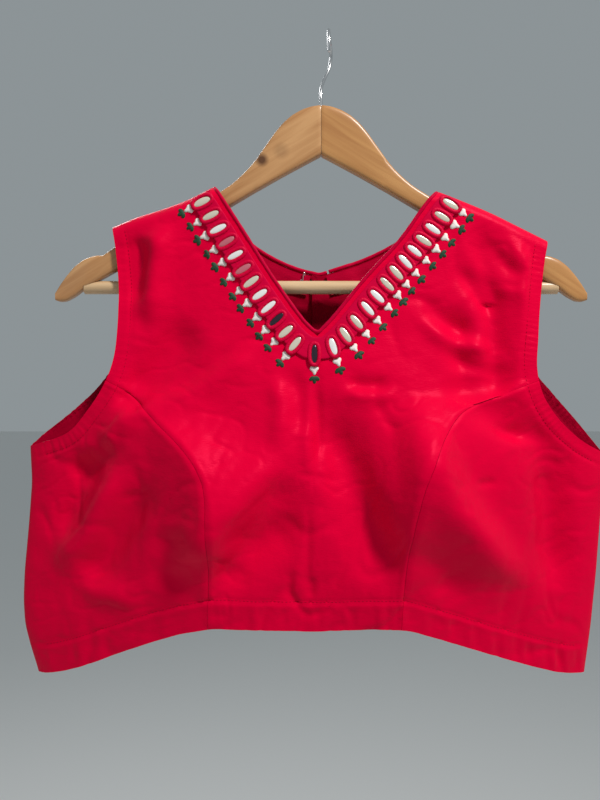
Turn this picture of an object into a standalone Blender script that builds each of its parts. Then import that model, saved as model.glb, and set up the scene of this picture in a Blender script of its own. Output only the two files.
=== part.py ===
"""A sleeveless choli blouse with a mirror-work V neck, hanging on a flat wooden hanger.

Frame: +Z up, +X to the viewer's right, the front of the blouse faces -Y.  The origin is the inside
top of the hanger's hook, where a rail carries it.  All the tables are in millimetres and are measured
from the hanger's centre line; OFFSET_X moves the finished pieces so that the hook's top is on x = 0.

The blouse is one closed surface around the hanger.  A point of it is (turn, z): turn runs from 0 at the
left side seam, over the front, to pi at the right edge, and over the back to 2 pi.  depth_front and
depth_back give how far the cloth stands out from the hanger's plane.  Each cut piece is a patch of that
surface between its own edge curves, given a wall, and pulled back a little at its seams.
"""
import math

import bmesh
import bpy
import numpy as np

# ------------------------------------------------------------------ sizes (mm)
MM = 0.001
OFFSET_X = -6.5           # hook top above the hanger's centre line, sideways
CLOTH = 1.5               # wall of a panel: satin and its lining
SEAM_PULL = 0.17          # each piece stops this far short of a seam: 0.34 mm between them
HEM_DEPTH = 23.0          # turned-up hem
HEM_EXTRA = 0.9           # more cloth inside the hem
SHOULDER_ROLL = 10.0      # radius of the cloth over the shoulder
SIDE_DEPTH = 14.5         # half depth of the blouse beside the hanger
LAP_OVER = 6.0            # the left back half runs this far past the centre
LAP_UNDER = 7.0           # the right back half runs this far under it
LAP_DROP = 3.2            # the underlap lies this much further in
PIPING_RADIUS = 1.5
BORDER_IN, BORDER_OUT, BORDER_WALL, BORDER_GAP = 3.6, 22.0, 1.0, 0.95
FACING_WIDTH, FACING_WALL, FACING_GAP = 18.0, 1.0, 0.9
LAYER_GAP = 0.3

BAR_RADIUS = 5.5
BAR_Z = -211.0
BAR_HALF = 196.5
WOOD_THICK = 13.0
WIRE_RADIUS = 1.4

# side edges of the blouse: height, left edge, right edge
SIDES = [
    (-100.0, -241.0, 234.0),
    (-343.0, -241.9, 235.0),
    (-372.0, -240.4, 235.0),
    (-405.0, -242.8, 232.0),
    (-447.0, -246.6, 228.8),
    (-470.0, -247.4, 226.4),
    (-490.0, -246.2, 224.4),
    (-508.0, -241.6, 222.0),
    (-530.0, -234.7, 218.8),
    (-548.0, -231.0, 217.0),
]
# shoulder line from the neck point out to the tip: left x, left z, right x, right z
SHOULDER = [
    (-90.0, -128.8, 97.4, -132.4),
    (-110.0, -138.8, 118.0, -140.4),
    (-131.0, -146.6, 141.0, -150.0),
    (-152.0, -153.2, 164.0, -161.2),
    (-172.4, -161.5, 187.2, -172.6),
]
# the V, from the neck point down to the tip: left x, left z, right x, right z
V_NECK = [
    (-90.0, -128.8, 97.4, -132.4),
    (-82.4, -140.8, 85.2, -147.2),
    (-65.4, -167.2, 64.8, -175.6),
    (-40.0, -207.2, 37.0, -206.0),
    (-16.6, -240.2, 10.6, -238.4),
    (-3.6, -253.0, -3.6, -253.0),
]
# the round back neck, from the neck point to the centre back: left x, left z, right x, right z
BACK_NECK = [
    (-90.0, -128.8, 97.4, -132.4),
    (-86.4, -140.6, 94.4, -141.0),
    (-79.0, -154.0, 86.6, -153.6),
    (-66.0, -169.0, 71.0, -169.6),
    (-44.0, -184.2, 46.0, -183.4),
    (-20.0, -194.8, 22.0, -192.6),
    (0.0, -199.4, 0.0, -199.4),
]
# armholes: share of the way down from the shoulder tip to the underarm, then the edge's x on each panel
ARMHOLES = [
    # drop  front_left back_left front_right back_right
    (0.00, -172.4, -172.4, 187.2, 187.2),
    (0.08, -169.4, -172.2, 184.0, 187.6),
    (0.27, -166.2, -171.0, 179.3, 184.8),
    (0.45, -166.0, -170.4, 176.0, 182.0),
    (0.60, -168.4, -173.6, 174.2, 181.0),
    (0.72, -175.8, -187.2, 179.0, 196.0),
    (0.84, -190.4, -209.0, 193.6, 213.5),
    (0.94, -208.6, -231.0, 214.0, 227.0),
    (1.00, -241.9, -241.9, 234.9, 234.9),
]
ARMHOLE_TOP = (-161.5, -172.6)        # left, right
UNDERARM = (-342.8, -348.6)           # left, right
PRINCESS_DROP = (0.70, 0.66)          # where each princess seam leaves its armhole
# princess seams below the armhole: left x, left z, right x, right z
PRINCESS = [
    (-154.2, -299.8, 144.0, -300.2),
    (-131.0, -321.8, 113.0, -312.4),
    (-111.9, -339.3, 94.0, -334.4),
    (-98.0, -356.6, 82.4, -356.0),
    (-90.4, -377.0, 74.6, -377.0),
    (-88.0, -411.0, 69.2, -411.0),
    (-88.9, -447.0, 65.0, -446.0),
    (-91.4, -484.2, 61.8, -484.2),
]
# lower edge: share of the way from the centre to the side, height left, height right
HEM_CENTRE, HEM_SIDES = -10.0, (-234.7, 218.8)
HEM = [
    (0.00, -486.8, -486.8),
    (0.20, -485.4, -485.0),
    (0.34, -484.4, -485.2),
    (0.46, -489.6, -494.6),
    (0.58, -498.4, -504.0),
    (0.70, -508.4, -513.4),
    (0.82, -519.0, -522.2),
    (0.92, -526.4, -528.6),
    (1.00, -530.2, -530.4),
]
# fullness beyond SIDE_DEPTH at each height: front middle, left cup, right cup, back
FULLNESS = [
    (-100.0, 0.0, 0.0, 0.0, 0.0),
    (-200.0, 2.0, 0.0, 0.0, 4.0),
    (-250.0, 8.0, 3.0, 3.0, 7.0),
    (-300.0, 18.0, 12.0, 11.0, 9.0),
    (-340.0, 26.0, 23.0, 22.0, 10.0),
    (-365.0, 28.0, 29.0, 29.0, 11.0),
    (-385.0, 29.0, 29.0, 29.0, 11.0),
    (-420.0, 28.0, 22.0, 22.0, 11.0),
    (-450.0, 26.0, 12.0, 12.0, 11.0),
    (-485.0, 24.0, 4.0, 4.0, 10.0),
    (-530.0, 20.0, 2.0, 2.0, 10.0),
]
CUP_INNER, CUP_OUTER, CUP_ROUND = 66.0, 120.0, 5.0    # reach of a cup to each side of its seam, and its nose

# hanger halves: distance from the glued centre, height of the top edge, height of the lower edge
WOOD = [
    (0.15, -60.2, -101.8),
    (8.0, -61.2, -105.9),
    (16.0, -63.9, -110.2),
    (24.0, -68.4, -114.5),
    (31.0, -74.4, -118.3),
    (38.0, -82.6, -122.2),
    (45.0, -92.6, -126.1),
    (52.0, -102.6, -130.1),
    (59.0, -111.6, -134.2),
    (67.0, -119.8, -138.9),
    (76.0, -127.4, -144.2),
    (90.0, -136.2, -152.6),
    (112.0, -147.8, -164.8),
    (142.0, -162.2, -181.4),
    (168.0, -176.2, -196.2),
    (176.0, -181.4, -200.8),
    (180.4, -185.0, -203.2),
    (184.6, -184.6, -205.6),
    (190.0, -185.6, -208.8),
    (197.0, -188.4, -213.0),
    (204.0, -193.6, -218.4),
    (211.0, -201.6, -222.4),
    (217.0, -210.2, -223.0),
    (220.0, -216.4, -221.6),
]
# hook wire: height, sideways lean from the centre line, reach out of the hanger's plane
HOOK = [
    (-60.0, 0.0, 0.0),
    (-52.0, -0.2, 0.2),
    (-45.0, 0.2, 2.6),
    (-38.0, 1.6, 8.0),
    (-30.0, 4.2, 14.4),
    (-22.0, 7.2, 18.4),
    (-13.5, 8.9, 19.2),
    (-6.0, 8.6, 15.6),
    (-0.6, 7.4, 8.8),
    (1.6, 6.5, 0.0),
    (-0.6, 6.0, -9.2),
    (-6.6, 5.8, -15.8),
    (-14.4, 5.9, -18.4),
    (-22.4, 6.1, -17.2),
]


# ------------------------------------------------------------------ curves
def smooth_curve(rows, count=240):
    """A Catmull-Rom curve through the rows, as points evenly spaced along it."""
    p = np.array(rows, dtype=float)
    ends = np.vstack([2 * p[0] - p[1], p, 2 * p[-1] - p[-2]])
    out = []
    for k in range(1, len(ends) - 2):
        a, b, c, d = ends[k - 1:k + 3]
        t = np.linspace(0, 1, 24, endpoint=False)[:, None]
        out.append(0.5 * (2 * b + (c - a) * t + (2 * a - 5 * b + 4 * c - d) * t ** 2
                          + (3 * b - a - 3 * c + d) * t ** 3))
    dense = np.vstack(out + [p[-1:]])
    run = np.concatenate([[0], np.cumsum(np.linalg.norm(np.diff(dense, axis=0), axis=1))])
    at = np.linspace(0, run[-1], count)
    return np.stack([np.interp(at, run, dense[:, k]) for k in range(dense.shape[1])], axis=1)


def along(curve, t):
    """Points of a curve at shares t of its length."""
    s = np.linspace(0, 1, len(curve))
    return np.stack([np.interp(t, s, curve[:, k]) for k in range(curve.shape[1])], axis=-1)


def by_height(table, column, z):
    t = np.array(table)[::-1]
    return np.interp(z, t[:, 0], t[:, column])


def easy(t):
    t = np.clip(t, 0, 1)
    return t * t * (3 - 2 * t)


def smoothed(table, column, z, reach=9.0):
    """by_height with its corners rounded off over twice the reach."""
    return sum(w * by_height(table, column, z + k * reach)
               for k, w in ((-1, 0.18), (-0.5, 0.2), (0, 0.24), (0.5, 0.2), (1, 0.18)))


# ------------------------------------------------------------------ the blouse's surface
def sides(z):
    left, right = smoothed(SIDES, 1, z, 6.0), smoothed(SIDES, 2, z, 6.0)
    return (left + right) / 2, (right - left) / 2


SHOULDER_LINE = [smooth_curve([(r[k], r[k + 1]) for r in SHOULDER]) for k in (0, 2)]


def shoulder_height(x):
    left, right = SHOULDER_LINE
    l = np.interp(-x, -left[:, 0], left[:, 1])
    r = np.interp(x, right[:, 0], right[:, 1])
    return np.where(x < 0, l, r)


ARM = {}
for side in (0, 1):
    for face, column in (("front", 1 + 2 * side), ("back", 2 + 2 * side)):
        top, low = ARMHOLE_TOP[side], UNDERARM[side]
        ARM[face, side] = smooth_curve([(r[column], top + (low - top) * r[0]) for r in ARMHOLES])
V_EDGE = [smooth_curve([(r[k], r[k + 1]) for r in V_NECK]) for k in (0, 2)]
NECK_EDGE = [smooth_curve([(r[k], r[k + 1]) for r in BACK_NECK]) for k in (0, 2)]


def share_at_height(curve, z):
    return float(np.interp(-z, -curve[:, 1], np.linspace(0, 1, len(curve))))


SEAM_START, SEAM = [], []
for side in (0, 1):
    z = ARMHOLE_TOP[side] + (UNDERARM[side] - ARMHOLE_TOP[side]) * PRINCESS_DROP[side]
    share = share_at_height(ARM["front", side], z)
    start = along(ARM["front", side], share)
    SEAM_START.append(share)
    rows = [tuple(start)] + [(r[2 * side], r[2 * side + 1]) for r in PRINCESS]
    SEAM.append(smooth_curve(rows))


def seam_x(side, z):
    c = SEAM[side]
    return np.interp(-z, -c[:, 1], c[:, 0])


def hem_height(x):
    t = np.array(HEM)
    share_l = np.clip((HEM_CENTRE - x) / (HEM_CENTRE - HEM_SIDES[0]), 0, 1)
    share_r = np.clip((x - HEM_CENTRE) / (HEM_SIDES[1] - HEM_CENTRE), 0, 1)
    wide = [(-0.03, 0.25), (0.0, 0.5), (0.03, 0.25)]
    l = sum(w * np.interp(np.abs(share_l + k), t[:, 0], t[:, 1]) for k, w in wide)
    r = sum(w * np.interp(np.abs(share_r + k), t[:, 0], t[:, 2]) for k, w in wide)
    return np.where(x < HEM_CENTRE, l, r)


def cup(side, x, z):
    """How much of a cup's fullness reaches x: a soft nose on the princess seam, falling away to both sides."""
    d = x - seam_x(side, z)
    outward = -d if side == 0 else d
    reach = np.where(outward > 0, CUP_OUTER, CUP_INNER)
    u = np.clip((np.sqrt(d * d + CUP_ROUND ** 2) - CUP_ROUND) / reach, 0, 1)
    return (1 - u) ** 1.7


def edge_share(x, z):
    middle, half = sides(z)
    s = np.clip((x - middle) / half, -1, 1)
    return np.sqrt(1 - s * s)


def shoulder_share(x, z):
    drop = np.clip((shoulder_height(x) - z) / SHOULDER_ROLL, 0, 1)
    return np.sqrt(1 - (1 - drop) ** 2)


def depth_front(x, z):
    e = edge_share(x, z)
    full = (smoothed(FULLNESS, 1, z, 18) + smoothed(FULLNESS, 2, z, 18) * cup(0, x, z)
            + smoothed(FULLNESS, 3, z, 18) * cup(1, x, z))
    return shoulder_share(x, z) * (SIDE_DEPTH * e + full * e ** 2.2)


def depth_back(x, z):
    e = edge_share(x, z)
    return shoulder_share(x, z) * (SIDE_DEPTH * e + smoothed(FULLNESS, 4, z, 18) * e ** 2.2)


def turn_of(x, z, back=False):
    middle, half = sides(z)
    t = np.arccos(np.clip(-(x - middle) / half, -1, 1))
    return 2 * math.pi - t if back else t


def x_of(turn, z):
    middle, half = sides(z)
    return middle - half * np.cos(turn)


def point(turn, z, under=False):
    """The outside of the cloth.  under gives the underlap, which drops in behind the overlap."""
    x = x_of(turn, z)
    front = np.mod(turn, 2 * math.pi) <= math.pi
    y = np.where(front, -depth_front(x, z), depth_back(x, z))
    if under:
        y = y - np.where(front, 0, LAP_DROP * easy((34 - x) / 16))
    return np.stack([x, y, z], axis=-1)


def outward(turn, z, under=False):
    """The cloth's outward direction, measured over small steps of the surface."""
    across = point(turn + 0.004, z, under) - point(turn - 0.004, z, under)
    up = point(turn, z, under) - point(turn, z - 0.6, under)
    n = np.cross(across, up)
    n /= np.linalg.norm(n, axis=-1, keepdims=True)
    x = x_of(turn, z)
    slope = (shoulder_height(x + 1) - shoulder_height(x - 1)) / 2
    ridge = np.stack([-slope, 0 * x, 1 + 0 * x], axis=-1)
    ridge /= np.linalg.norm(ridge, axis=-1, keepdims=True)
    on_ridge = (shoulder_height(x) - z < 0.25)[..., None]
    return np.where(on_ridge, ridge, n)


# ------------------------------------------------------------------ patches
def coons(top, bottom, first, last, shares=None):
    """Rows and columns between four edge curves; first and last run down the patch's two sides."""
    v = np.concatenate([[0], np.cumsum(np.linalg.norm(np.diff(first, axis=0), axis=1))])[:, None, None]
    v = v / v[-1]
    w = np.concatenate([[0], np.cumsum(np.linalg.norm(np.diff(last, axis=0), axis=1))])[:, None, None]
    w = w / w[-1]
    u = (np.linspace(0, 1, len(top)) if shares is None else shares)[None, :, None]
    down = v * (1 - u) + w * u
    ruled = (1 - u) * first[:, None] + u * last[:, None]
    cross = (1 - down) * top[None] + down * bottom[None]
    corner = ((1 - u) * (1 - down) * top[0] + u * (1 - down) * top[-1]
              + (1 - u) * down * bottom[0] + u * down * bottom[-1])
    return ruled + cross - corner


def flat_to_turn(curve, back=False):
    x, z = curve[..., 0], curve[..., 1]
    return np.stack([turn_of(x, z, back), z], axis=-1)


def hem_rows(last_row, steps=(0.5, 1.0)):
    """The turned-up hem: rows straight down from its stitched top to the lower edge."""
    return np.stack([np.stack([last_row[:, 0], last_row[:, 1] - HEM_DEPTH * k], axis=-1) for k in steps])


def side_line(side, z, back=False):
    turn = 0.0 if side == 0 else math.pi
    if back and side == 0:
        turn = 2 * math.pi
    return np.stack([turn + 0 * z, z], axis=-1)


GRADED = np.linspace(0, 1, 13) ** 1.35       # columns of the shoulder pieces, closer near the neck
ROLL_STEPS = [0.0, 1.4, 5.0, 10.0]           # drops below the shoulder line that carry its round
ROWS_UPPER, ROWS_BACK, ROWS_LOWER = 9, 14, 11
COLS_SIDE = 9


def down_shares(drop, rows):
    first = [s / drop for s in ROLL_STEPS]
    return np.array(first + list(np.linspace(first[-1], 1, rows)[1:]))


def hem_line(x_start, x_end, count):
    x = np.linspace(x_start, x_end, count)
    return np.stack([x, hem_height(x) + HEM_DEPTH], axis=-1)


def cut_seam(side):
    """The part of a princess seam between its armhole and the hem's stitched top."""
    c = SEAM[side]
    keep = c[:, 1] > hem_height(c[:, 0]) + HEM_DEPTH
    last = c[keep][-1]
    return np.vstack([c[keep], [[last[0], hem_height(last[0]) + HEM_DEPTH]]])


def even(curve, count):
    run = np.concatenate([[0], np.cumsum(np.linalg.norm(np.diff(curve, axis=0), axis=1))])
    at = np.linspace(0, run[-1], count)
    return np.stack([np.interp(at, run, curve[:, k]) for k in range(curve.shape[1])], axis=1)


def front_half(side):
    """One half of the front centre panel: columns from the neck out to the armhole and princess seam."""
    t_up = down_shares(125, ROWS_UPPER)
    top = along(SHOULDER_LINE[side], GRADED)
    neck = along(V_EDGE[side], t_up)
    arm = along(ARM["front", side], t_up * SEAM_START[side])
    tip, start = neck[-1], arm[-1]
    row = tip + (start - tip) * GRADED[:, None]
    upper = coons(flat_to_turn(top), flat_to_turn(row), flat_to_turn(neck), flat_to_turn(arm), GRADED)
    seam = even(cut_seam(side), ROWS_LOWER + 1)
    low_x = HEM_CENTRE + 1.5
    centre = np.linspace(tip, (low_x, hem_height(low_x) + HEM_DEPTH), ROWS_LOWER + 1)
    x = low_x + (seam[-1, 0] - low_x) * GRADED
    bottom = np.stack([x, hem_height(x) + HEM_DEPTH], axis=-1)
    bottom[-1] = seam[-1]
    lower = coons(flat_to_turn(row), flat_to_turn(bottom), flat_to_turn(centre), flat_to_turn(seam), GRADED)
    grid = np.vstack([upper, lower[1:], hem_rows(lower[-1])])
    return (grid[:, ::-1] if side == 0 else grid), len(upper) - 1


def front_side(side):
    seam = even(cut_seam(side), ROWS_LOWER + 1)
    t = SEAM_START[side] + (1 - SEAM_START[side]) * np.linspace(0, 1, COLS_SIDE + 1)
    arm = along(ARM["front", side], t)
    low_z = HEM_DEPTH + float(hem_height(np.array(HEM_SIDES[side])))
    edge = side_line(side, np.linspace(UNDERARM[side], low_z, ROWS_LOWER + 1))
    bottom = hem_line(seam[-1, 0], x_of(edge[-1, 0], edge[-1, 1]), COLS_SIDE + 1)
    arm_t, bottom_t = flat_to_turn(arm), flat_to_turn(bottom)
    spread = np.linspace(bottom_t[0, 0], edge[-1, 0], COLS_SIDE + 1)
    bx = x_of(spread, np.interp(spread, np.sort(bottom_t[:, 0]), bottom_t[np.argsort(bottom_t[:, 0]), 1]))
    bottom_t = np.stack([spread, hem_height(bx) + HEM_DEPTH], axis=-1)
    bottom_t[-1] = edge[-1]
    arm_t[-1] = edge[0]
    grid = coons(arm_t, bottom_t, flat_to_turn(seam), edge)
    grid = np.vstack([grid, hem_rows(grid[-1])])
    return grid[:, ::-1] if side == 0 else grid


def back_half(side):
    lap = LAP_OVER if side == 0 else -LAP_UNDER
    t_up = down_shares(150, ROWS_BACK)
    top = along(SHOULDER_LINE[side], GRADED)
    neck = NECK_EDGE[side]
    if side == 0:      # the overlap follows the right-hand neck a little way up past the centre
        beyond = NECK_EDGE[1][::-1]
        neck = np.vstack([neck, beyond[(beyond[:, 0] > 0.3) & (beyond[:, 0] < lap)], [[lap, -197.9]]])
    else:
        beyond = NECK_EDGE[0][::-1]
        neck = np.vstack([neck, beyond[(beyond[:, 0] < -0.3) & (beyond[:, 0] > lap)], [[lap, -197.9]]])
    neck = even(neck, 240)
    inner = along(neck, t_up)
    arm = along(ARM["back", side], t_up)
    under = side_line(side, np.array([UNDERARM[side]]), True)[0]
    spacing = GRADED[:, None]
    start = flat_to_turn(inner[-1:], True)[0]
    row = start + (under - start) * spacing
    arm_t = flat_to_turn(arm, True)
    arm_t[-1] = under
    upper = coons(flat_to_turn(top, True), row, flat_to_turn(inner, True), arm_t, GRADED)
    low_z = HEM_DEPTH + float(hem_height(np.array(HEM_SIDES[side])))
    edge = side_line(side, np.linspace(UNDERARM[side], low_z, ROWS_LOWER + 1), True)
    centre = np.linspace(inner[-1], (lap, float(hem_height(np.array(lap))) + HEM_DEPTH), ROWS_LOWER + 1)
    centre_t = flat_to_turn(centre, True)
    spread = centre_t[-1, 0] + (edge[-1, 0] - centre_t[-1, 0]) * spacing[:, 0]
    z = np.full(len(spread), -480.0)
    for _ in range(6):
        z = hem_height(x_of(spread, z)) + HEM_DEPTH
    bottom = np.stack([spread, z], axis=-1)
    bottom[0], bottom[-1] = centre_t[-1], edge[-1]
    lower = coons(row, bottom, centre_t, edge, GRADED)
    grid = np.vstack([upper, lower[1:], hem_rows(lower[-1])])
    return grid[:, ::-1] if side == 1 else grid


# ------------------------------------------------------------------ solids
def pull(p, q):
    d = q - p
    return p + SEAM_PULL * d / np.linalg.norm(d, axis=-1, keepdims=True)


def wall(grid, hem_from=None, seams=(), under=False, out=0.0, thick=CLOTH):
    """Outer and inner points of a piece: the surface moved out, and the same less its wall."""
    turn, z = grid[..., 0], grid[..., 1]
    n = outward(turn, z, under)
    face = point(turn, z, under) + n * out
    t = np.full(turn.shape, thick)
    if hem_from is not None:
        t[hem_from:] += HEM_EXTRA
    shifted = face.copy()
    if "top" in seams:
        shifted[0] = pull(face[0], face[1])
    if "left" in seams:
        shifted[:, 0] = pull(shifted[:, 0], face[:, 1])
    if "right" in seams:
        shifted[:, -1] = pull(shifted[:, -1], face[:, -2])
    return shifted, shifted - n * t[..., None]


def shell(name, sheets, material):
    """One closed solid from sheets of (outer, inner) points; sheets that share points are one cloth."""
    index, outer, inner, faces = {}, [], [], []
    for out_pts, in_pts in sheets:
        ids = np.zeros(out_pts.shape[:2], dtype=int)
        for r in range(out_pts.shape[0]):
            for c in range(out_pts.shape[1]):
                key = tuple(np.round(out_pts[r, c], 3))
                if key not in index:
                    index[key] = len(outer)
                    outer.append(out_pts[r, c])
                    inner.append(in_pts[r, c])
                ids[r, c] = index[key]
        for r in range(ids.shape[0] - 1):
            for c in range(ids.shape[1] - 1):
                faces.append((ids[r, c], ids[r + 1, c], ids[r + 1, c + 1], ids[r, c + 1]))
    n = len(outer)
    used = {}
    for f in faces:
        for a, b in zip(f, f[1:] + f[:1]):
            used[a, b] = used.get((a, b), 0) + 1
    rim = [(b, a, a + n, b + n) for (a, b) in used if (b, a) not in used]
    bm = bmesh.new()
    verts = [bm.verts.new((p[0] * MM + OFFSET_X * MM, p[1] * MM, p[2] * MM)) for p in outer + inner]
    for f in faces:
        bm.faces.new([verts[i] for i in f])
        bm.faces.new([verts[i + n] for i in reversed(f)])
    for f in rim:
        bm.faces.new([verts[i] for i in f])
    return finish(name, bm, material)


def finish(name, bm, material):
    bmesh.ops.recalc_face_normals(bm, faces=bm.faces)
    mesh = bpy.data.meshes.new(name)
    bm.to_mesh(mesh)
    bm.free()
    mesh.shade_smooth()
    mesh.set_sharp_from_angle(angle=math.radians(50))
    mesh.materials.append(material)
    ob = bpy.data.objects.new(name, mesh)
    COLLECTION.objects.link(ob)
    return ob


def tube(name, path, radius, material, resolution=2):
    curve = bpy.data.curves.new(name, "CURVE")
    curve.dimensions = "3D"
    curve.bevel_depth = radius * MM
    curve.bevel_resolution = resolution
    curve.use_fill_caps = True
    spline = curve.splines.new("POLY")
    spline.points.add(len(path) - 1)
    for p, co in zip(spline.points, path):
        p.co = (co[0] * MM + OFFSET_X * MM, co[1] * MM, co[2] * MM, 1)
    curve.materials.append(material)
    ob = bpy.data.objects.new(name, curve)
    COLLECTION.objects.link(ob)
    return ob


def material(name, colour, roughness, metallic=0.0):
    m = bpy.data.materials.new(name)
    m.use_nodes = True
    b = m.node_tree.nodes["Principled BSDF"]
    b.inputs["Base Color"].default_value = (*colour, 1)
    b.inputs["Roughness"].default_value = roughness
    b.inputs["Metallic"].default_value = metallic
    return m


# ------------------------------------------------------------------ build
for ob in list(bpy.data.objects):
    bpy.data.objects.remove(ob)
COLLECTION = bpy.data.collections.new("choli_blouse")
bpy.context.scene.collection.children.link(COLLECTION)

SATIN = material("crimson_satin", (0.62, 0.0, 0.045), 0.38)
SATIN_IN = material("crimson_satin_inside", (0.30, 0.0, 0.02), 0.5)
PIPE = material("crimson_piping", (0.55, 0.0, 0.04), 0.42)
WOODM = material("varnished_wood", (0.55, 0.31, 0.13), 0.35)
BARM = material("pale_wood", (0.66, 0.45, 0.26), 0.45)
STEEL = material("bright_steel", (0.62, 0.62, 0.62), 0.25, 1.0)

def panel(name, grid, seams, under=False):
    out_pts, in_pts = wall(grid, len(grid) - 2, seams, under)
    return shell(name, [(out_pts, in_pts)], SATIN)


left, tip_row = front_half(0)
right, _ = front_half(1)
lo, li = wall(left, len(left) - 2, ("top", "left"))
ro, ri = wall(right, len(right) - 2, ("top", "right"))
ro[tip_row:, 0], ri[tip_row:, 0] = lo[tip_row:, -1], li[tip_row:, -1]
shell("front_centre", [(lo, li), (ro, ri)], SATIN)
panel("front_side_left", front_side(0), ("left", "right"))
panel("front_side_right", front_side(1), ("left", "right"))
panel("back_left", back_half(0), ("top", "right"))
panel("back_right", back_half(1), ("top", "left"), under=True)


def strip_points(curve, shares, offsets, back, sign):
    """A band beside an edge curve: rows along it, columns at distances across it, in the flat."""
    c = along(curve, shares)
    ahead, behind = along(curve, np.clip(shares + 0.012, 0, 1)), along(curve, np.clip(shares - 0.012, 0, 1))
    d = ahead - behind
    d /= np.linalg.norm(d, axis=-1, keepdims=True)
    n = np.stack([-d[:, 1], d[:, 0]], axis=-1) * sign
    return np.stack([flat_to_turn(c + n * k, back) for k in offsets], axis=1)


# the whole V as one curve, left neck point to right neck point, its tip a little rounded
V_WHOLE = even(np.vstack([V_EDGE[0][:-5], V_EDGE[1][::-1][5:]]), 400)
shares = np.concatenate([np.array([0.012, 0.04, 0.075]), np.linspace(0.115, 0.455, 15), np.linspace(0.475, 0.54, 6),
                         np.linspace(0.57, 0.885, 14), np.array([0.925, 0.96, 0.988])])
band = strip_points(V_WHOLE, shares, np.linspace(BORDER_IN, BORDER_OUT, 5), False, -1)
b_out, b_in = wall(band, None, (), out=BORDER_GAP + BORDER_WALL, thick=BORDER_WALL)
shell("neck_border", [(b_out, b_in)], SATIN)

# rolled piping: up the overlap's neck from the centre back, over the left shoulder, down and up the V,
# over the right shoulder and back to the centre back
def pipe_run(edge, shares, back, toward, under=False):
    t = flat_to_turn(along(edge, shares), back)
    step = 0.006
    a = flat_to_turn(along(edge, np.clip(shares + step, 0, 1)), back)
    b = flat_to_turn(along(edge, np.clip(shares - step, 0, 1)), back)
    n = outward(t[:, 0], t[:, 1], under)
    mid = point(t[:, 0], t[:, 1], under) - n * CLOTH / 2
    run = point(a[:, 0], a[:, 1], under) - point(b[:, 0], b[:, 1], under)
    run /= np.linalg.norm(run, axis=-1, keepdims=True)
    off = np.cross(n, run) * toward
    off /= np.linalg.norm(off, axis=-1, keepdims=True)
    return mid + off * (PIPING_RADIUS + (1.35 if back else 0.5))


back_l = np.vstack([NECK_EDGE[0], NECK_EDGE[1][::-1][(NECK_EDGE[1][::-1][:, 0] > 0.3)
                                                      & (NECK_EDGE[1][::-1][:, 0] < LAP_OVER)]])
back_r = NECK_EDGE[1][NECK_EDGE[1][:, 0] > LAP_OVER + 1.4]
runs = [
    pipe_run(back_l[::-1], np.concatenate([np.linspace(0.0, 0.94, 17), [0.965, 0.985]]), True, 1),
    pipe_run(V_WHOLE, np.concatenate([[0.0, 0.006, 0.016, 0.03], np.linspace(0.055, 0.47, 16), np.linspace(0.488, 0.524, 4),
                                      np.linspace(0.545, 0.945, 15), [0.97, 0.984, 0.994, 1.0]]), False, 1),
    pipe_run(back_r, np.concatenate([[0.015, 0.035], np.linspace(0.06, 1.0, 16)]), True, 1, True),
]
tube("neck_piping", even(smooth_curve(np.vstack(runs), 600), 118), PIPING_RADIUS, PIPE, 1)

for side, tag in ((0, "left"), (1, "right")):
    edge = NECK_EDGE[side]
    stop = 0.93 if side == 0 else 0.965
    f = strip_points(edge, np.linspace(0.12, stop, 13), np.linspace(1.2, FACING_WIDTH, 3), True,
                     -1 if side == 0 else 1)
    f = f[:, ::-1] if side == 0 else f
    f_out, f_in = wall(f, None, (), under=side == 1, out=-(CLOTH + FACING_GAP), thick=FACING_WALL)
    shell("back_neck_facing_" + tag, [(f_out, f_in)], SATIN_IN)

# dress hook at the top of the overlap, lying on its facing: a wire loop flattened into a hook
hx, hz, hy = -14.0, -202.5, None
base = point(turn_of(np.array([hx]), np.array([hz]), True), np.array([hz]))[0]
hy = base[1] - CLOTH - FACING_GAP - FACING_WALL - LAYER_GAP - 0.9
bend = [(-2.4, 0.0, 0.4), (-3.0, 0.0, -1.0), (-2.4, 0.0, -2.2), (-1.2, 0.0, -1.4), (-0.75, 0.0, 1.2),
        (-0.72, 0.0, 4.6), (-0.45, -0.5, 6.0), (0.0, -1.2, 6.3), (0.45, -1.9, 5.8), (0.6, -2.0, 4.6), (0.6, -1.8, 3.0)]
tube("back_hook", [(hx + a, hy + b, hz + c) for a, b, c in bend], 0.4, STEEL, 1)


# ------------------------------------------------------------------ hanger
def wood_ring(d, top, low, side, count=16):
    """A rounded-oblong section across a hanger half at distance d from the centre."""
    a = np.linspace(0, 2 * math.pi, count, endpoint=False) + math.pi / count
    half_z, mid = (top - low) / 2, (top + low) / 2
    half_y = WOOD_THICK / 2 * (1 - 0.30 * easy((d - 190) / 30))
    power = 0.42
    cy, cz = np.cos(a), np.sin(a)
    y = half_y * np.sign(cy) * np.abs(cy) ** power
    z = mid + half_z * np.sign(cz) * np.abs(cz) ** (power * (0.55 if half_z > 14 else 1))
    x = np.full(count, d if side == 1 else -d)
    return np.stack([x, y, z], axis=-1)


def loft(name, rings, material):
    bm = bmesh.new()
    made = [[bm.verts.new((p[0] * MM + OFFSET_X * MM, p[1] * MM, p[2] * MM)) for p in ring] for ring in rings]
    for a, b in zip(made, made[1:]):
        for k in range(len(a)):
            j = (k + 1) % len(a)
            bm.faces.new((a[k], a[j], b[j], b[k]))
    bm.faces.new(made[0])
    bm.faces.new(list(reversed(made[-1])))
    return finish(name, bm, material)


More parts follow.
